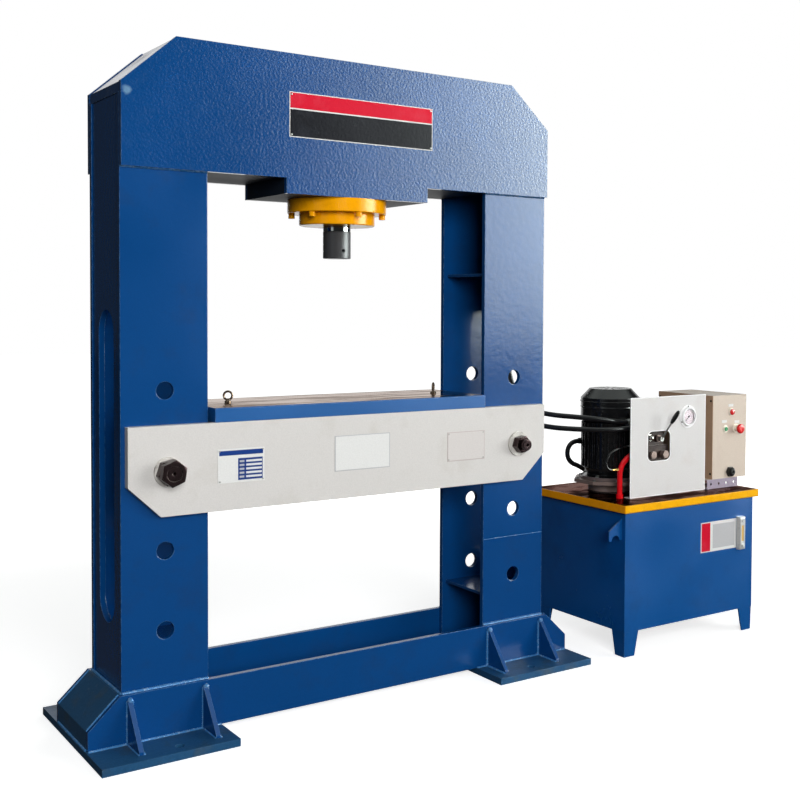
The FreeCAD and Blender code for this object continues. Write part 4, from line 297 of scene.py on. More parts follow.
# The near-white along the nut and pin edges is painted highlight.
PIN_STEEL = finish("pin_steel", srgb(58, 44, 46), 0.24, 0.9, vary=0.25, bump=0.0005, bump_scale=140.0,
                   edge_wear_and_highlight=srgb(196, 178, 172), edge_wear_and_highlight_amount=0.9, dirt_and_sheen=srgb(24, 16, 20), dirt_and_sheen_amount=0.7,
                   dirt_and_sheen_scale=30.0, edge=0.0025,
                   alternative=("|Y|", APRON_FACE - 0.0001, APRON_FACE + 0.0081,
                                srgb(206, 202, 196), 0.42, 0.0))
PLATED = finish("plated_steel", srgb(170, 170, 166), 0.28, 0.9, vary=0.12, bump=0.0003, bump_scale=200.0,
                dirt_and_sheen=srgb(96, 84, 66), dirt_and_sheen_amount=0.4, dirt_and_sheen_scale=40.0, edge_wear_and_highlight=srgb(220, 220, 220),
                edge_wear_and_highlight_amount=0.6)
EYE_STEEL = finish("eye_steel", srgb(140, 122, 106), 0.26, 0.8, vary=0.2, bump=0.0003, bump_scale=200.0,
                   dirt_and_sheen=srgb(52, 38, 30), dirt_and_sheen_amount=0.5, dirt_and_sheen_scale=40.0, edge_wear_and_highlight=srgb(190, 180, 168),
                   edge_wear_and_highlight_amount=0.6)
SEAL = finish("seal_rubber", srgb(28, 28, 28), 0.6, vary=0.2)
TANK_PAINT = finish("tank_paint", srgb(6, 78, 145), 0.22, bump=0.0006, bump_scale=30.0, vary=0.07,
                    dirt_and_sheen=srgb(16, 50, 90), dirt_and_sheen_amount=0.3, dirt_and_sheen_scale=4.0, edge_wear_and_highlight=srgb(120, 165, 205),
                    edge_wear_and_highlight_amount=0.6, specular=0.9)
RIM_PAINT = finish("rim_paint", srgb(253, 180, 14), 0.28, bump=0.0004, bump_scale=60.0, vary=0.08,
                   dirt_and_sheen=srgb(190, 104, 10), dirt_and_sheen_amount=0.30, dirt_and_sheen_scale=16.0, specular=0.12, edge=0.010,
                   # The deeper orange on the rim's left side is painted shade.
                   alternative=("X", 0.0, RIM_LEFT + 0.002, srgb(255, 160, 10), 0.28, 0.0))
# The lid's pale patches are partly oily streaks and partly painted reflection.
LID_PAINT = finish("lid_paint", srgb(48, 30, 26), 0.16, 1.0, vary=0.35, vary_scale=8.0, bump=0.0012,
                   bump_scale=24.0, dirt_and_sheen=srgb(150, 126, 116), dirt_and_sheen_amount=0.5, dirt_and_sheen_scale=14.0,
                   tint=(0.42, 0.28, 0.25, 1.0), streaks=(5.0, (1.0, 2.5, 1.0), srgb(16, 9, 8), 0.30))
PANEL_PAINT = finish("panel_paint", srgb(217, 215, 214), 0.40, bump=0.0003, bump_scale=40.0, vary=0.02,
                     dirt_and_sheen=srgb(196, 184, 176), dirt_and_sheen_amount=0.25, dirt_and_sheen_scale=8.0, specular=0.2)
WHITE_EDGE = finish("white_edge", srgb(250, 250, 250), 0.40, vary=0.01, specular=0.2)
VALVE_IRON = finish("valve_iron", srgb(40, 28, 26), 0.32, 0.2, vary=0.3, bump=0.0010, bump_scale=120.0,
                    dirt_and_sheen=srgb(74, 54, 46), dirt_and_sheen_amount=0.5, dirt_and_sheen_scale=30.0, edge_wear_and_highlight=srgb(150, 128, 114),
                    edge_wear_and_highlight_amount=0.6, specular=0.25,
                    alternative=("Y", -1.0, VALVE_FACE - 0.0006, srgb(138, 120, 114), 0.30, 0.5))
BRIGHT = finish("bright_metal", srgb(214, 212, 206), 0.22, 0.85, vary=0.08, bump=0.0002, bump_scale=300.0,
                dirt_and_sheen=srgb(150, 130, 108), dirt_and_sheen_amount=0.3, dirt_and_sheen_scale=60.0)
BLACK_PLASTIC = finish("black_plastic", srgb(16, 16, 17), 0.28, vary=0.15, bump=0.0002, bump_scale=500.0)
CREAM_PLASTIC = finish("cream_plastic", srgb(244, 236, 220), 0.34, vary=0.05, dirt_and_sheen=srgb(170, 150, 120),
                       dirt_and_sheen_amount=0.3, dirt_and_sheen_scale=50.0, specular=0.3)
RED_PLASTIC = finish("red_plastic", srgb(214, 26, 30), 0.26, vary=0.08, edge_wear_and_highlight=srgb(240, 120, 110),
                     edge_wear_and_highlight_amount=0.4)
LAMP_PLASTIC = finish("lamp_plastic", srgb(222, 40, 44), 0.12, vary=0.15, vary_scale=120.0, specular=0.7)
GREEN_PLASTIC = finish("green_plastic", srgb(26, 136, 78), 0.28, vary=0.08)
# The lighter lines along the motor's fin edges are painted highlight.
MOTOR_PAINT = finish("motor_paint", srgb(16, 16, 18), 0.18, vary=0.25, bump=0.0008, bump_scale=60.0,
                     edge_wear_and_highlight=srgb(104, 104, 106), edge_wear_and_highlight_amount=0.6, dirt_and_sheen=srgb(52, 46, 44), dirt_and_sheen_amount=0.25,
                     dirt_and_sheen_scale=12.0, specular=0.7, edge=0.0025,
                     alternative=("Z", 0.0, FLANGE_TOP_Z, srgb(112, 98, 96), 0.28, 0.2))
ROTOR = finish("rotor_steel", srgb(128, 128, 130), 0.35, 0.9, vary=0.15, brushed=(1, 1, 10.0))
PUMP_IRON = finish("pump_iron", srgb(44, 38, 38), 0.22, 0.2, vary=0.25, bump=0.0008, bump_scale=80.0,
                   edge_wear_and_highlight=srgb(200, 186, 172), edge_wear_and_highlight_amount=0.7, dirt_and_sheen=srgb(100, 84, 76), dirt_and_sheen_amount=0.4,
                   dirt_and_sheen_scale=14.0,
                   alternative=("Z", SEAT_LOW_Z, SEAT_TOP_Z + 0.001, srgb(134, 116, 110), 0.30, 0.2))
MESH = finish("strainer_mesh", srgb(156, 134, 84), 0.4, 0.8, grain=0.2, grain_scale=900.0)
PIPE_RED = finish("pipe_red", srgb(232, 16, 28), 0.16, vary=0.08, bump=0.0003, bump_scale=80.0,
                  dirt_and_sheen=srgb(150, 14, 16), dirt_and_sheen_amount=0.25, dirt_and_sheen_scale=30.0, specular=0.7)
HOSE_RUBBER = finish("hose_rubber", srgb(20, 20, 22), 0.30, vary=0.2, bump=0.0004, bump_scale=260.0,
                     dirt_and_sheen=srgb(60, 58, 57), dirt_and_sheen_amount=0.2, dirt_and_sheen_scale=40.0)
BOX_PAINT = finish("box_paint", srgb(209, 195, 181), 0.44, vary=0.04, bump=0.0006, bump_scale=120.0,
                   dirt_and_sheen=srgb(184, 166, 148), dirt_and_sheen_amount=0.2, dirt_and_sheen_scale=8.0, specular=0.2,
                   alternative=("Z", -1.0, BRACKET_TOP_Z - 0.0005, srgb(158, 148, 164), 0.30, 0.0))
COVER_PAINT = finish("cover_paint", srgb(182, 150, 124), 0.42, vary=0.08, bump=0.0006, bump_scale=120.0,
                     dirt_and_sheen=srgb(130, 104, 84), dirt_and_sheen_amount=0.4, dirt_and_sheen_scale=6.0, specular=0.2)
LABEL_WHITE = finish("label_white", srgb(226, 226, 224), 0.40, vary=0.03, specular=0.2)
LABEL_GREY = finish("label_grey", srgb(186, 186, 188), 0.40, vary=0.05, specular=0.2)
LABEL_PALE = finish("label_pale", srgb(212, 207, 204), 0.40, vary=0.03, specular=0.2)
LABEL_ROSE = finish("label_rose", srgb(186, 172, 170), 0.40, vary=0.05, specular=0.2)
LABEL_RED = finish("label_red", srgb(204, 18, 46), 0.30, vary=0.06, dirt_and_sheen=srgb(226, 120, 140),
                   dirt_and_sheen_amount=0.12, dirt_and_sheen_scale=12.0, specular=0.12)
LABEL_BLACK = finish("label_black", srgb(16, 16, 22), 0.22, vary=0.25, dirt_and_sheen=srgb(60, 64, 74),
                     dirt_and_sheen_amount=0.2, dirt_and_sheen_scale=8.0, specular=0.12)
LABEL_BLUE = finish("label_blue", srgb(26, 58, 128), 0.30, vary=0.08, specular=0.2)
DIAL_PINK = finish("dial_pink", srgb(226, 210, 216), 0.40, vary=0.04)
AMBER = finish("amber_window", srgb(226, 190, 112), 0.10, vary=0.10, vary_scale=60.0, specular=0.8)
BRASS = finish("brass", srgb(196, 150, 84), 0.28, 0.9, vary=0.12)
DARK_SCREW = finish("dark_screw", srgb(34, 32, 30), 0.4, 0.6, vary=0.2)


def glass():
    """Clear glass over the gauge's dial."""
    shader = Shader("gauge_glass")
    tint = shader.mix(shader.noise(40.0), (0.96, 0.96, 0.98, 1), (1, 1, 1, 1))
    material = shader.finish(tint, shader.spread(shader.noise(90.0), 0.3, 0.7, 0.02, 0.06))
    shader.bsdf.inputs["Transmission Weight"].default_value = 1.0
    shader.bsdf.inputs["IOR"].default_value = 1.3
    return material


GLASS = glass()

FINISHES = {
    FRAME_PAINT: ("base_rails", "foot_gussets", "column_plates", "column_webs",
                  "column_ribs", "crown_stiffeners", "table_ribs"),
    UNDERSIDE_SHADE: ("crown_bottom_plate",),
    HAMMER_PAINT: ("crown_front_plate", "crown_rear_plate"),
    TOP_PAINT: ("crown_top_plate",),
    FOOT_PAINT: ("base_plates", "foot_end_plates"),
    APRON_PAINT: ("table_aprons",),
    TABLE_SIDES: ("table_plate",),
    CYLINDER_PAINT: ("cylinder_barrel", "cylinder_gland", "cylinder_bolts"),
    CHROME: ("piston_rod",),
    GAUGE_FRAME: ("level_gauge",),
    BLACK_OXIDE: ("rod_end",),
    PIN_STEEL: ("table_pins", "pin_nuts"),
    PLATED: ("cylinder_ports", "valve_lever", "pressure_pipe"),
    EYE_STEEL: ("eye_bolts",),
    SEAL: ("piston_seals",),
    ROTOR: ("piston", "motor_rotor", "pump_shaft"),
    TANK_PAINT: ("tank_body", "tank_hooks", "tank_legs"),
    RIM_PAINT: ("lid_rim",),
    LID_PAINT: ("tank_lid",),
    PANEL_PAINT: ("valve_panel",),
    WHITE_EDGE: ("gauge_case",),
    VALVE_IRON: ("valve_block",),
    BRIGHT: ("relief_valve",),
    BLACK_PLASTIC: ("lever_grip", "gauge_needle", "cable_gland", "motor_fan"),
    MOTOR_PAINT: ("motor_frame", "fan_cover"),
    PUMP_IRON: ("pump_housing",),
    MESH: ("suction_strainer",),
    PIPE_RED: ("return_pipe",),
    BOX_PAINT: ("box_body",),
    COVER_PAINT: ("box_cover",),
    CREAM_PLASTIC: ("button_bezels", "stop_stem"),
    LAMP_PLASTIC: ("pilot_lamp",),
    GREEN_PLASTIC: ("start_button",),
    RED_PLASTIC: ("stop_head",),
    GLASS: ("gauge_glass",),
}
for material, names in FINISHES.items():
    for name in names:
        slots = nodes[name].data.materials
        slots.clear()
        slots.append(material)


def paint_top(name, material, level):
    """Gives the faces of a node that lie at a level their own material."""
    mesh = nodes[name].data
    mesh.materials.append(material)
    for polygon in mesh.polygons:
        if all(abs(mesh.vertices[n].co.z - level) < 0.0005 for n in polygon.vertices):
            polygon.material_index = len(mesh.materials) - 1


paint_top("table_plate", TABLE_TOP, TABLE_TOP_Z)


# ---------------------------------------------------------------- piece building
def piece(name, mesh, material, body=MACHINE, smooth=False):
    """A shown object from a mesh in the part's frame, riding on a body."""
    obj = bpy.data.objects.new(name, mesh)
    bpy.context.scene.collection.objects.link(obj)
    mesh.materials.append(material)
    for polygon in mesh.polygons:
        polygon.use_smooth = smooth
    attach(obj, body)
    return obj


def mesh_of(build):
    """Mesh from a function that fills a bmesh."""
    mesh = bpy.data.meshes.new("mesh")
    work = bmesh.new()
    build(work)
    bmesh.ops.recalc_face_normals(work, faces=work.faces)
    work.to_mesh(mesh)
    work.free()
    return mesh


def add_box(work, low, high):
    """Box between two corners."""
    size = [b - a for a, b in zip(low, high)]
    centre = [(a + b) / 2 for a, b in zip(low, high)]
    place = Matrix.Translation(centre) @ Matrix.Diagonal((*size, 1))
    bmesh.ops.create_cube(work, size=1.0, matrix=place)


def add_disc(work, centre, normal, radius, height, sides=24, top=1.0):
    """Short cylinder or cone that stands on a centre along a normal."""
    turn = Vector(normal).to_track_quat("Z", "Y").to_matrix().to_4x4()
    place = Matrix.Translation(Vector(centre) + Vector(normal).normalized() * height / 2) @ turn
    bmesh.ops.create_cone(
        work, cap_ends=True, segments=sides, radius1=radius, radius2=radius * top, depth=height, matrix=place
    )


def add_screw(work, centre, normal, radius, height, sides=6):
    """Hexagon head on a washer."""
    step = Vector(normal).normalized() * height * 0.25
    add_disc(work, centre, normal, radius * 1.35, height * 0.25)
    add_disc(work, Vector(centre) + step, normal, radius, height * 0.75, sides, 0.93)


def add_bead(work, start, end, radius, pitch=0.007):
    """Weld bead between two points: a ribbed rope of small uneven ripples."""
    start = Vector(start)
    end = Vector(end)
    length = (end - start).length
    steps = max(int(length / pitch * 3), 3)
    turn = (end - start).to_track_quat("Z", "Y").to_matrix()
    loops = []
    for n in range(steps + 1):
        along = n / steps
        ripple = 1 + 0.16 * math.sin(2 * math.pi * n / 3) + random.uniform(-0.14, 0.14)
        if n in (0, steps):
            ripple *= 0.5
        centre = start.lerp(end, along)
        loop = []
        for k in range(7):
            angle = 2 * math.pi * k / 7
            offset = turn @ Vector((math.cos(angle), math.sin(angle), 0)) * radius * ripple
            loop.append(work.verts.new(centre + offset))
        loops.append(loop)
    for first, second in zip(loops, loops[1:]):
        for k in range(7):
            m = (k + 1) % 7
            work.faces.new((first[k], first[m], second[m], second[k]))
    work.faces.new(loops[0][::-1])
    work.faces.new(loops[-1])


def add_blob(work, centre, radius):
    """Uneven lump of weld metal."""
    place = Matrix.Translation(centre)
    made = bmesh.ops.create_icosphere(work, subdivisions=2, radius=radius, matrix=place)
    for vertex in made["verts"]:
        reach = vertex.co - Vector(centre)
        vertex.co = Vector(centre) + reach * random.uniform(0.75, 1.1)


# ---------------------------------------------------------------- measured places, from the frame
COLUMN_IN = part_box("column_webs")[1][0] + 0.005 - 0.300
COLUMN_OUT = COLUMN_IN + 0.300
COLUMN_FACE = 0.160
RAIL_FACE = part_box("base_rails")[1][1]
RAIL_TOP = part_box("base_rails")[1][2]
FOOT_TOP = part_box("base_plates")[1][2]
FOOT_IN = 0.540
GUSSET_X = (0.598, 0.858)
GUSSET_HALF = 0.008
GUSSET_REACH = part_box("foot_gussets")[1][1]
GUSSET_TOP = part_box("foot_gussets")[1][2]
CROWN_FACE = -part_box("crown_front_plate")[0][1]
PANEL_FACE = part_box("valve_panel")[0][1]
TANK_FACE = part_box("tank_body")[0][1]
LID_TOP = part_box("pump_housing")[0][2]
BUTT_WELD_Z = 0.537
FOOT_OUT = 0.995
FOOT_END_X = 0.996
FOOT_BEND_X = 0.890
FOOT_BEND_Z = 0.090
LAP_FACE = 0.161
LAP_Z = 1.930


# ---------------------------------------------------------------- welds
def weld_beads(work):
    """Beads round the columns, gussets, rails, end plates and the crown's laps."""
    for side in (-1, 1):
        for face in (-1, 1):
            y_rail = face * RAIL_FACE
            add_bead(work, (side * COLUMN_IN, face * COLUMN_FACE * 1.01, RAIL_TOP),
                     (side * COLUMN_OUT, face * COLUMN_FACE * 1.01, RAIL_TOP), 0.0065)
            add_bead(work, (side * FOOT_IN, y_rail, FOOT_TOP), (side * FOOT_OUT, y_rail, FOOT_TOP), 0.0055)
            for x in GUSSET_X:
                add_blob(work, (side * x, y_rail + face * 0.006, GUSSET_TOP + 0.002), 0.011)
                for flank in (-GUSSET_HALF, GUSSET_HALF):
                    column = side * x + flank
                    add_bead(work, (column, y_rail, FOOT_TOP), (column, y_rail, GUSSET_TOP), 0.005)
                    add_bead(work, (column, y_rail, FOOT_TOP), (column, face * GUSSET_REACH, FOOT_TOP), 0.005)
                add_bead(work, (side * x - GUSSET_HALF, y_rail, GUSSET_TOP),
                         (side * x + GUSSET_HALF, y_rail, GUSSET_TOP), 0.006)
            add_bead(work, (side * FOOT_OUT, face * COLUMN_FACE, FOOT_BEND_Z),
                     (side * FOOT_BEND_X, face * COLUMN_FACE, RAIL_TOP), 0.004)
        add_bead(work, (side * FOOT_END_X, -COLUMN_FACE, FOOT_TOP),
                 (side * FOOT_END_X, COLUMN_FACE, FOOT_TOP), 0.005)
        add_bead(work, (side * COLUMN_OUT, -COLUMN_FACE, RAIL_TOP),
                 (side * COLUMN_OUT, COLUMN_FACE, RAIL_TOP), 0.005)
        add_bead(work, (COLUMN_IN, -COLUMN_FACE, BUTT_WELD_Z),
                 (COLUMN_OUT, -COLUMN_FACE, BUTT_WELD_Z), 0.0012)
        for face in (-1, 1):
            add_bead(work, (side * COLUMN_IN, face * LAP_FACE, LAP_Z),
                     (side * COLUMN_OUT, face * LAP_FACE, LAP_Z), 0.004)


piece("weld_beads", mesh_of(weld_beads), WELD_PAINT_AND_HIGHLIGHT, smooth=True)


# ---------------------------------------------------------------- plates
FIELD_STEP = 0.0002


def plate(name, x_range, z_range, face, fields, screws=None, thickness=0.0012):
    """Flat plate on a front face, with plain colour fields laid on it.

    fields are (x share from, to, z share from, to, material, slot); screws is the radius of the four
    corner rivets.
    """
    x0, x1 = x_range
    z0, z1 = z_range

    def field_mesh(share, depth):
        a, b, c, d = share
        low = (x0 + (x1 - x0) * a, face - depth, z0 + (z1 - z0) * c)
        high = (x0 + (x1 - x0) * b, face - depth + thickness, z0 + (z1 - z0) * d)
        return mesh_of(lambda work: add_box(work, low, high))

    for n, (a, b, c, d, material, slot) in enumerate(fields):
        depth = thickness + FIELD_STEP * n
        piece(f"{name}_{n}", field_mesh((a, b, c, d), depth), material)
    if screws:
        inset = screws * 2.2
        head_y = face - thickness - FIELD_STEP * len(fields)

        def heads(work):
            for x in (x0 + inset, x1 - inset):
                for z in (z0 + inset, z1 - inset):
                    add_disc(work, (x, head_y, z), (0, -1, 0), screws, 0.0015, 12, 0.7)

        piece(f"{name}_rivets", mesh_of(heads), PLATED)


plate("crown_plate", (-0.285, 0.315), (2.075, 2.235), -CROWN_FACE, [
    (0, 1, 0, 1, LABEL_WHITE, "apron_grey"),
    (0.005, 0.995, 0.02, 0.615, LABEL_BLACK, "black_steel"),
    (0.005, 0.995, 0.645, 0.98, LABEL_RED, "pipe_red"),
], 0.004)
plate("data_plate", (-0.557, -0.385), (0.864, 0.982), -APRON_FACE, [
    (0, 1, 0, 1, LABEL_WHITE, "apron_grey"),
    (0.03, 0.97, 0.81, 0.95, LABEL_BLUE, "tank_blue"),
    (0.43, 0.96, 0.07, 0.71, LABEL_BLUE, "tank_blue"),
] + [
    (low, high, 0.13 + 0.115 * row, 0.19 + 0.115 * row, material, "apron_grey")
    for row in range(5) for low, high, material in ((0.46, 0.56, LABEL_GREY), (0.60, 0.94, LABEL_WHITE))
], 0.003)
plate("middle_plate", (-0.108, 0.125), (0.871, 1.002), -APRON_FACE, [
    (0, 1, 0, 1, LABEL_GREY, "apron_grey"),
    (0.015, 0.985, 0.025, 0.975, LABEL_WHITE, "apron_grey"),
], None)
plate("right_plate", (0.385, 0.562), (0.871, 0.985), -APRON_FACE, [
    (0, 1, 0, 1, LABEL_ROSE, "apron_grey"),
    (0.015, 0.985, 0.022, 0.978, LABEL_PALE, "apron_grey"),
], 0.003)
plate("tank_plate", (1.622, 1.850), (0.390, 0.524), TANK_FACE, [
    (0, 1, 0, 1, LABEL_WHITE, "apron_grey"),
    (0.02, 0.26, 0.03, 0.97, LABEL_RED, "pipe_red"),
    (0.33, 0.94, 0.10, 0.90, LABEL_GREY, "apron_grey"),
], None)


# ---------------------------------------------------------------- hoses and conduit
UPPER_HOSE_ROUTE = [
    (1.365, -0.185, 0.974), (1.310, -0.185, 0.974), (1.225, -0.190, 0.988), (1.105, -0.152, 1.004),
    (0.990, -0.045, 1.014), (0.955, 0.085, 1.040), (0.962, 0.185, 1.150), (0.966, 0.222, 1.380),
    (0.970, 0.228, 1.640), (0.950, 0.226, 1.880), (0.850, 0.223, 2.055), (0.650, 0.222, 2.155),
    (0.440, 0.220, 2.225), (0.240, 0.215, 2.273), (0.052, 0.215, 2.273),
]
LOWER_HOSE_ROUTE = [
    (1.365, -0.216, 0.952), (1.310, -0.216, 0.952), (1.230, -0.213, 0.948), (1.095, -0.172, 0.954),
    (0.985, -0.057, 0.960), (0.938, 0.088, 0.985), (0.925, 0.188, 1.090), (0.922, 0.222, 1.300),
    (0.918, 0.228, 1.550), (0.900, 0.226, 1.780), (0.820, 0.223, 1.925), (0.680, 0.221, 1.985),
    (0.500, 0.219, 2.000), (0.330, 0.217, 1.985), (0.190, 0.215, 1.925), (0.052, 0.215, 1.925),
]
CONDUIT_ROUTE = [
    (1.312, 0.116, 0.864), (1.274, 0.116, 0.864), (1.244, 0.1165, 0.834), (1.244, 0.117, 0.792),
    (1.274, 0.122, 0.763), (1.322, 0.138, 0.748), (1.392, 0.158, 0.716), (1.466, 0.163, 0.680),
    (1.545, 0.165, 0.660), (1.640, 0.168, 0.6595), (1.725, 0.171, 0.680), (1.795, 0.175, 0.708),
    (1.842, 0.176, 0.716), (1.866, 0.162, 0.716), (1.880, 0.138, 0.716), (1.880, 0.110, 0.716),
]
HOSE_DIAMETER = 0.022


def tube_curve(name, points, radius, material, around=3):
    """Smooth round tube along its points; around is how finely it is rounded."""
    curve = bpy.data.curves.new(name, "CURVE")
    curve.dimensions = "3D"
    curve.bevel_depth = radius
    curve.bevel_resolution = around
    curve.use_fill_caps = True
    curve.resolution_u = 12
    spline = curve.splines.new("NURBS")
    spline.points.add(len(points) - 1)
    for point, place in zip(spline.points, points):
        point.co = (*place, 1)
    spline.order_u = 3
    spline.use_endpoint_u = True
    curve.materials.append(material)
    obj = bpy.data.objects.new(name, curve)
    bpy.context.scene.collection.objects.link(obj)
    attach(obj, MACHINE)
    return obj


def hose(name, route, replaced):
    """Smooth hose in place of its plain solid."""
    obj = tube_curve(name, route, HOSE_DIAMETER / 2, HOSE_RUBBER, 6)
    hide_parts(replaced)


hose("upper_hose_line", UPPER_HOSE_ROUTE, "upper_hose")
hose("lower_hose_line", LOWER_HOSE_ROUTE, "lower_hose")
hose("motor_conduit_line", CONDUIT_ROUTE, "motor_conduit")


def ferrules(work):
    """Crimped sleeves at the hoses' ends."""
    for route in (UPPER_HOSE_ROUTE, LOWER_HOSE_ROUTE):
        for end, beside in ((route[0], route[1]), (route[-1], route[-2])):
            way = (Vector(beside) - Vector(end)).normalized()
            add_disc(work, end, way, HOSE_DIAMETER * 0.64, 0.036, 20)
            add_disc(work, Vector(end) + way * 0.006, way, HOSE_DIAMETER * 0.70, 0.005, 20)
            add_disc(work, Vector(end) + way * 0.020, way, HOSE_DIAMETER * 0.70, 0.005, 20)


piece("hose_ferrules", mesh_of(ferrules), PLATED)


# ---------------------------------------------------------------- gauge, box and tank details
MARKS_BEHIND_GLASS = 0.0072
DIAL_BEHIND_GLASS = 0.0078
GAUGE_SCREW_CIRCLE = 0.0465


def middle_of(name):
    """Centre of a node's box."""
    low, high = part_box(name)
    return [(a + b) / 2 for a, b in zip(low, high)]


def gauge_marks(work):
    """Ring of scale marks on the dial."""
    centre_x, _, centre_z = middle_of("gauge_case")
    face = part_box("gauge_glass")[1][1] + MARKS_BEHIND_GLASS
    for n in range(31):
        angle = math.radians(225 - 270 * n / 30)
        inner = 0.0270 if n % 5 == 0 else 0.0295
        for radius in (inner, 0.0305, 0.0320):
            place = (centre_x + radius * math.cos(angle), face, centre_z + radius * math.sin(angle))
            add_disc(work, place, (0, -1, 0), 0.0007 if radius > inner else 0.0009, 0.0003, 6)


def gauge_dial():
    """Pale dial under the glass."""
    centre_x, _, centre_z = middle_of("gauge_case")
    centre = (centre_x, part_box("gauge_glass")[1][1] + DIAL_BEHIND_GLASS, centre_z)
    return mesh_of(lambda work: add_disc(work, centre, (0, -1, 0), 0.0350, 0.0004, 48))


piece("gauge_dial", gauge_dial(), DIAL_PINK)
piece("gauge_marks", mesh_of(gauge_marks), LABEL_BLACK)


def gauge_screws(work):
    """Three screws in the gauge's flange."""
    centre_x, _, centre_z = middle_of("gauge_case")
    for degrees in (90, 210, 330):
        angle = math.radians(degrees)
        place = (centre_x + GAUGE_SCREW_CIRCLE * math.cos(angle), PANEL_FACE - 0.0025,
                 centre_z + GAUGE_SCREW_CIRCLE * math.sin(angle))
        add_disc(work, place, (0, -1, 0), 0.0032, 0.002, 14, 0.8)


piece("gauge_screws", mesh_of(gauge_screws), DARK_SCREW)


def level_window():
    """Oil behind the level gauge's window."""
    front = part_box("level_gauge")[0][1]
    centre_x, _, middle = middle_of("level_gauge")
    low = (centre_x - 0.0072, front + 0.0012, middle - 0.0355)
    high = (centre_x + 0.0072, front + 0.003, middle + 0.0355)
    return mesh_of(lambda work: add_box(work, low, high))


def level_screws(work):
    """Hollow screws at the level gauge's ends."""
    low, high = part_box("level_gauge")
    centre_x = (low[0] + high[0]) / 2
    for z in (low[2] + 0.018, high[2] - 0.018):
        add_screw(work, (centre_x, low[1], z), (0, -1, 0), 0.007, 0.005)


piece("level_window", level_window(), AMBER)
piece("level_screws", mesh_of(level_screws), GAUGE_FRAME)


def rounded_loop(x_range, z_range, radius, steps=6):
    """Points (x, z) round a rectangle with rounded corners."""
    x0, x1 = x_range
    z0, z1 = z_range
    points = []
    for x, z, start in ((x1, z1, 0), (x0, z1, 90), (x0, z0, 180), (x1, z0, 270)):
        corner_x = x - math.copysign(radius, x - (x0 + x1) / 2)
        corner_z = z - math.copysign(radius, z - (z0 + z1) / 2)
        for n in range(steps + 1):
            angle = math.radians(start + 90 * n / steps)
            points.append((corner_x + radius * math.cos(angle), corner_z + radius * math.sin(angle)))
    return points


def add_frame(work, inner, outer, y_range):
    """Closed flat frame between two loops of points (x, z)."""
    rings = [[work.verts.new((x, y, z)) for x, z in loop] for loop in (inner, outer) for y in y_range]
    count = len(inner)
    for first, second in ((0, 1), (1, 3), (3, 2), (2, 0)):
        for n in range(count):
            m = (n + 1) % count
            work.faces.new((rings[first][n], rings[first][m], rings[second][m], rings[second][n]))


PANEL_X = (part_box("valve_panel")[0][0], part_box("valve_panel")[1][0])
PANEL_Z = (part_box("valve_panel")[0][2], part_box("valve_panel")[1][2])
WINDOW_X = (1.398, 1.533)
WINDOW_Z = (0.803, 0.933)
WINDOW_RADIUS = 0.026
BARE_EDGE = 0.0042
BARE_PROUD = 0.0006


def panel_edges(work):
    """Bright edges of the valve panel and of its window: bare worn edges, made lighter still as painted
    highlight.
    """
    face = (PANEL_FACE - BARE_PROUD, PANEL_FACE)
    inner_x = (PANEL_X[0] + BARE_EDGE, PANEL_X[1] - BARE_EDGE)
    inner_z = (PANEL_Z[0] + BARE_EDGE, PANEL_Z[1] - BARE_EDGE)
    add_frame(work, rounded_loop(inner_x, inner_z, 0.001, 1),
              rounded_loop(PANEL_X, PANEL_Z, 0.001, 1), face)
    outer_x = (WINDOW_X[0] - BARE_EDGE, WINDOW_X[1] + BARE_EDGE)
    outer_z = (WINDOW_Z[0] - BARE_EDGE, WINDOW_Z[1] + BARE_EDGE)
    add_frame(work, rounded_loop(WINDOW_X, WINDOW_Z, WINDOW_RADIUS),
              rounded_loop(outer_x, outer_z, WINDOW_RADIUS + BARE_EDGE), face)


piece("panel_edges", mesh_of(panel_edges), WHITE_EDGE)


def box_screws(work):
    """Screws of the electric box's side cover."""
    low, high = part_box("box_cover")
    for y in (low[1] + 0.0121, high[1] - 0.0121):
        for z in (low[2] + 0.0242, high[2] - 0.0242):
            add_disc(work, (low[0], y, z), (-1, 0, 0), 0.0055, 0.002, 16, 0.8)


piece("box_screws", mesh_of(box_screws), DARK_SCREW)


def box_tags(work):
    """Small blank tags over the lamp and the two buttons."""
    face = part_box("box_cover")[0][1]
    for x, z in ((1.911, 1.028), (1.869, 0.955), (1.953, 0.950)):
        add_box(work, (x - 0.0160, face - 0.0008, z - 0.0062), (x + 0.0160, face, z + 0.0062))


piece("box_tags", mesh_of(box_tags), LABEL_WHITE)


FLANGE_CIRCLE = 0.122
FLANGE_BOLT_Z = 0.7205
SEAT_CIRCLE = 0.150
SEAT_BOLT_Z = 0.707


def unit_bolts(work):
    """Bolts of the motor flange, the motor seat and the lid."""
    centre_x, centre_y, _ = middle_of("fan_cover")
    for n in range(8):
        angle = math.pi / 8 + n * math.pi / 4
        place = (centre_x + FLANGE_CIRCLE * math.cos(angle), centre_y + FLANGE_CIRCLE * math.sin(angle),
                 FLANGE_BOLT_Z)
        if n % 2 == 0:
            add_screw(work, place, (0, 0, 1), 0.0085, 0.009)
        seat = (centre_x + SEAT_CIRCLE * math.cos(angle), centre_y + SEAT_CIRCLE * math.sin(angle),
                SEAT_BOLT_Z)
        add_screw(work, seat, (0, 0, 1), 0.0065, 0.006)
    lid_low, lid_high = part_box("tank_lid")
    for x in (lid_low[0] + 0.03, (lid_low[0] + lid_high[0]) / 2, lid_high[0] - 0.03):
        for y in (lid_low[1] + 0.03, lid_high[1] - 0.03):
            add_screw(work, (x, y, LID_TOP), (0, 0, 1), 0.0065, 0.006)


piece("unit_bolts", mesh_of(unit_bolts), PLATED)


COVER_RADIUS = 0.134
COVER_SCREW_Z = 0.990
COVER_BEAD_Z = 1.056


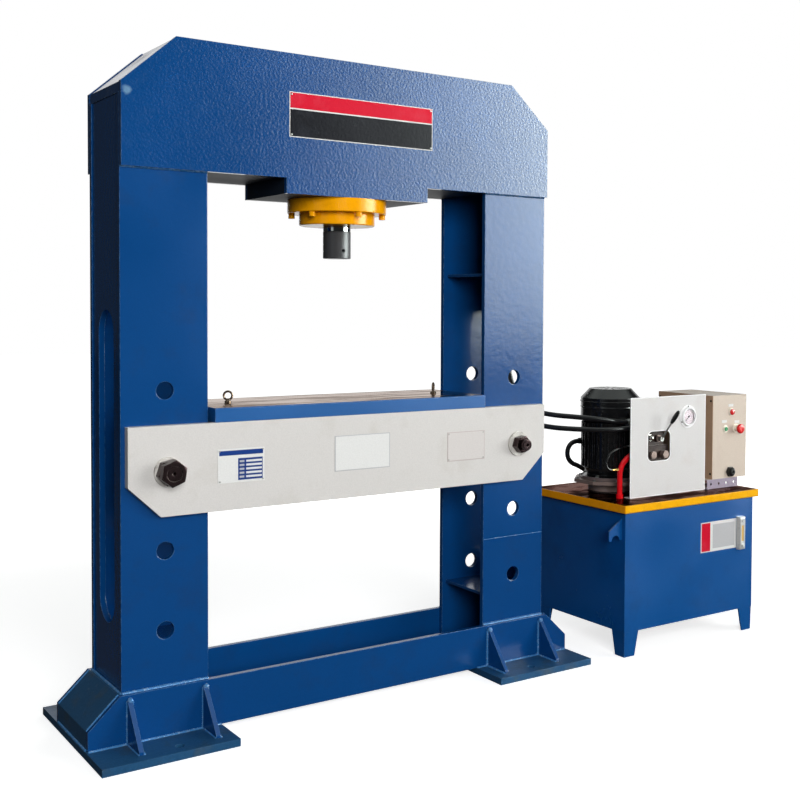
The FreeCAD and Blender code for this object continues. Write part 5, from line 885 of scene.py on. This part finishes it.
def cover_screws(work):
    """Screws round the fan cover's foot."""
    centre_x, centre_y, _ = middle_of("fan_cover")
    for degrees in (200, 290, 20, 110):
        angle = math.radians(degrees)
        way = (math.cos(angle), math.sin(angle), 0)
        place = (centre_x + COVER_RADIUS * way[0], centre_y + COVER_RADIUS * way[1], COVER_SCREW_Z)
        add_disc(work, place, way, 0.005, 0.003, 12, 0.7)


piece("cover_screws", mesh_of(cover_screws), BRIGHT)


def add_hoop(work, centre, radius, thickness, sides=64, around=8):
    """Thin round hoop that lies flat round a centre."""
    loops = []
    for n in range(sides):
        angle = 2 * math.pi * n / sides
        loop = []
        for k in range(around):
            turn = 2 * math.pi * k / around
            reach = radius + thickness * math.cos(turn)
            loop.append(work.verts.new((centre[0] + reach * math.cos(angle),
                                        centre[1] + reach * math.sin(angle),
                                        centre[2] + thickness * math.sin(turn))))
        loops.append(loop)
    for first, second in zip(loops, loops[1:] + loops[:1]):
        for k in range(around):
            m = (k + 1) % around
            work.faces.new((first[k], second[k], second[m], first[m]))


def cover_hoops(work):
    """Pressed bead round the fan cover, under its shoulder."""
    low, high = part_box("fan_cover")
    centre_x, centre_y, _ = middle_of("fan_cover")
    add_hoop(work, (centre_x, centre_y, COVER_BEAD_Z), (high[0] - low[0]) / 2 - 0.001, 0.003)


piece("cover_hoops", mesh_of(cover_hoops), MOTOR_PAINT, smooth=True)


RETURN_RADIUS = 0.016
RETURN_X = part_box("return_pipe")[0][0] + RETURN_RADIUS
RETURN_Y = -0.210
FITTING_Z = 0.774
tube_curve("gauge_capillary", [
    (RETURN_X - 0.040, RETURN_Y, FITTING_Z), (RETURN_X - 0.064, RETURN_Y, 0.776),
    (RETURN_X - 0.082, RETURN_Y, 0.800), (RETURN_X - 0.066, RETURN_Y, 0.842),
    (RETURN_X - 0.030, RETURN_Y, 0.862), (RETURN_X + 0.020, RETURN_Y, 0.868),
    (RETURN_X + 0.100, RETURN_Y + 0.010, 0.878), (RETURN_X + 0.150, RETURN_Y + 0.020, 0.885),
], 0.004, BLACK_PLASTIC)


def capillary_fitting(work):
    """Brass fitting of the thin gauge line, on the return pipe."""
    add_disc(work, (RETURN_X - 0.010, RETURN_Y, FITTING_Z), (-1, 0, 0), 0.0065, 0.020, 6)
    add_disc(work, (RETURN_X - 0.028, RETURN_Y, FITTING_Z), (-1, 0, 0), 0.0050, 0.016, 12)


piece("capillary_fitting", mesh_of(capillary_fitting), BRASS)


# ---------------------------------------------------------------- floor, light and camera
FLOOR_HALF = 30.0


def link_all(tree, pairs):
    """Joins pairs of sockets in a node tree."""
    for source, target in pairs:
        tree.links.new(source, target)


def combine(tree, operation, first, second):
    """Math node with its two inputs set or joined."""
    node = tree.nodes.new("ShaderNodeMath")
    node.operation = operation
    for socket, value in zip(node.inputs, (first, second)):
        if isinstance(value, bpy.types.NodeSocket):
            tree.links.new(value, socket)
        else:
            socket.default_value = value
    return node.outputs[0]


def ranged(tree, value, low, high, to_low=0.0, to_high=1.0):
    """Value mapped from one range to another, clamped and smooth."""
    node = tree.nodes.new("ShaderNodeMapRange")
    node.interpolation_type = "SMOOTHSTEP"
    tree.links.new(value, node.inputs["Value"])
    for socket, number in (("From Min", low), ("From Max", high), ("To Min", to_low), ("To Max", to_high)):
        node.inputs[socket].default_value = number
    return node.outputs["Result"]


def product(tree, *factors):
    """Product of several values."""
    result = factors[0]
    for factor in factors[1:]:
        result = combine(tree, "MULTIPLY", result, factor)
    return result


def towards(tree, place, way):
    """Cosine between a direction and a fixed way."""
    node = tree.nodes.new("ShaderNodeVectorMath")
    node.operation = "DOT_PRODUCT"
    node.inputs[1].default_value = Vector(way).normalized()
    tree.links.new(place, node.inputs[0])
    return node.outputs["Value"]


def shows_white(tree, behind):
    """1 for camera rays, and for glossy and transmission rays that reach the white behind."""
    seen = tree.nodes.new("ShaderNodeLightPath")
    through = combine(tree, "MAXIMUM", seen.outputs["Is Glossy Ray"], seen.outputs["Is Transmission Ray"])
    return combine(tree, "MAXIMUM", seen.outputs["Is Camera Ray"], combine(tree, "MULTIPLY", through, behind))


BEHIND = (0.59, 0.81, 0.10)
FLOOR_BOUNCE = 0.08
WINDOW_GLOW = 9.0


def stage_floor():
    """Floor that shows white and keeps the object's shadow; its own bounce is that of a grey floor."""
    mesh = mesh_of(lambda work: bmesh.ops.create_grid(
        work, x_segments=1, y_segments=1, size=FLOOR_HALF, matrix=Matrix.Translation((0, 0, -0.0005))))
    floor = bpy.data.objects.new("floor", mesh)
    bpy.context.scene.collection.objects.link(floor)
    material = bpy.data.materials.new("floor_white")
    material.use_nodes = True
    tree = material.node_tree
    shader = tree.nodes["Principled BSDF"]
    shader.inputs["Roughness"].default_value = 0.9
    shader.inputs["Specular IOR Level"].default_value = 0.0
    place = tree.nodes.new("ShaderNodeTexCoord")
    length = tree.nodes.new("ShaderNodeVectorMath")
    length.operation = "LENGTH"
    tree.links.new(place.outputs["Object"], length.inputs[0])
    away = length.outputs["Value"]
    unit = tree.nodes.new("ShaderNodeVectorMath")
    unit.operation = "NORMALIZE"
    tree.links.new(place.outputs["Object"], unit.inputs[0])
    behind = product(tree, ranged(tree, towards(tree, unit.outputs["Vector"], BEHIND), 0.80, 0.90),
                     ranged(tree, away, 3.0, 5.0))
    white = shows_white(tree, behind)
    tree.links.new(ranged(tree, white, 0.0, 1.0, FLOOR_BOUNCE, 0.75), shader.inputs["Base Color"])
    shader.inputs["Emission Color"].default_value = (1, 1, 1, 1)
    glow = combine(tree, "MULTIPLY", white, ranged(tree, away, 2.4, 5.0, 0.70, 1.0))
    tree.links.new(glow, shader.inputs["Emission Strength"])
    mesh.materials.append(material)


def world():
    """White behind the object, and a room with a broad bright window on its front right side."""
    scene_world = bpy.data.worlds.new("world")
    bpy.context.scene.world = scene_world
    scene_world.use_nodes = True
    tree = scene_world.node_tree
    tree.nodes.clear()
    output = tree.nodes.new("ShaderNodeOutputWorld")
    mix = tree.nodes.new("ShaderNodeMixShader")
    white = tree.nodes.new("ShaderNodeBackground")
    white.inputs["Color"].default_value = (1, 1, 1, 1)
    light = tree.nodes.new("ShaderNodeBackground")
    light.inputs["Color"].default_value = (0.95, 1.04, 1.0, 1.0)
    place = tree.nodes.new("ShaderNodeTexCoord").outputs["Generated"]
    split = tree.nodes.new("ShaderNodeSeparateXYZ")
    tree.links.new(place, split.inputs["Vector"])
    ahead = combine(tree, "MAXIMUM", combine(tree, "MULTIPLY", split.outputs["Y"], -1.0), 0.001)
    aside = combine(tree, "DIVIDE", split.outputs["X"], ahead)
    seen = tree.nodes.new("ShaderNodeLightPath")
    window = product(tree, ranged(tree, aside, 0.45, 0.86, 0.0, WINDOW_GLOW),
                     ranged(tree, aside, 0.88, 1.05, 1.0, 3.0), ranged(tree, aside, 2.2, 3.0, 1.0, 0.0),
                     ranged(tree, split.outputs["Z"], -0.22, 0.10, 0.0, 1.0),
                     ranged(tree, split.outputs["Z"], 0.40, 0.60, 1.0, 0.0))
    above = ranged(tree, split.outputs["Z"], 0.55, 0.80, 0.03, 0.8)
    beside = ranged(tree, towards(tree, place, (-1.0, -0.15, 0.25)), 0.85, 0.97, 0.0, 0.7)
    glints = combine(tree, "ADD", window, combine(tree, "ADD", above, beside))
    room = ranged(tree, towards(tree, place, (0.60, -0.62, 0.50)), -0.55, 0.95, 0.02, 0.20)
    strength = tree.nodes.new("ShaderNodeMix")
    link_all(tree, [(seen.outputs["Is Glossy Ray"], strength.inputs["Factor"]), (room, strength.inputs["A"]),
                    (glints, strength.inputs["B"]), (strength.outputs["Result"], light.inputs["Strength"])])
    behind = ranged(tree, towards(tree, place, BEHIND), 0.80, 0.90)
    link_all(tree, [
        (shows_white(tree, behind), mix.inputs["Fac"]),
        (light.outputs["Background"], mix.inputs[1]),
        (white.outputs["Background"], mix.inputs[2]),
        (mix.outputs["Shader"], output.inputs["Surface"]),
    ])


def area_lamp(name, place, target, size, energy, colour=(1, 1, 1)):
    """Soft lamp aimed at a target."""
    lamp = bpy.data.lights.new(name, "AREA")
    lamp.shape = "RECTANGLE"
    lamp.size, lamp.size_y = size
    lamp.energy = energy
    lamp.color = colour
    obj = bpy.data.objects.new(name, lamp)
    bpy.context.scene.collection.objects.link(obj)
    aim = (Vector(target) - Vector(place)).to_track_quat("-Z", "Y")
    obj.matrix_world = Matrix.Translation(place) @ aim.to_matrix().to_4x4()
    obj.visible_glossy = False


CAMERA_PLACE = Vector((-2.08963, -3.93391, 1.48105))
CAMERA_YAW = 0.6293
CAMERA_PITCH = -0.0327
CAMERA_ROLL = 0.0067
CAMERA_LENS = 51.807
CAMERA_SHIFT = (-0.125, -0.0705)


def camera():
    """The camera at the photograph's place and angle."""
    data = bpy.data.cameras.new("camera")
    data.sensor_width = 36.0
    data.lens = CAMERA_LENS
    data.shift_x, data.shift_y = CAMERA_SHIFT
    data.clip_end = 100.0
    ahead = Vector((math.sin(CAMERA_YAW) * math.cos(CAMERA_PITCH),
                    math.cos(CAMERA_YAW) * math.cos(CAMERA_PITCH), math.sin(CAMERA_PITCH)))
    level = Vector((math.cos(CAMERA_YAW), -math.sin(CAMERA_YAW), 0))
    up = level.cross(ahead)
    right = math.cos(CAMERA_ROLL) * level + math.sin(CAMERA_ROLL) * up
    top = -math.sin(CAMERA_ROLL) * level + math.cos(CAMERA_ROLL) * up
    obj = bpy.data.objects.new("camera", data)
    bpy.context.scene.collection.objects.link(obj)
    turn = Matrix((right, top, -ahead)).transposed().to_4x4()
    obj.matrix_world = Matrix.Translation(CAMERA_PLACE) @ turn
    bpy.context.scene.camera = obj


stage_floor()
world()
area_lamp("window_light", (7.2, -7.0, 2.7), (0.0, 0, 1.6), (6.8, 5.2), 450)
area_lamp("fill_light", (-1.8, -6.4, 3.0), (0.0, 0, 1.3), (3.0, 2.5), 330)
area_lamp("back_light", (4.0, 6.5, 3.6), (0.0, 0, 1.2), (4.0, 3.0), 170)
camera()
bpy.context.scene.view_settings.view_transform = "Standard"
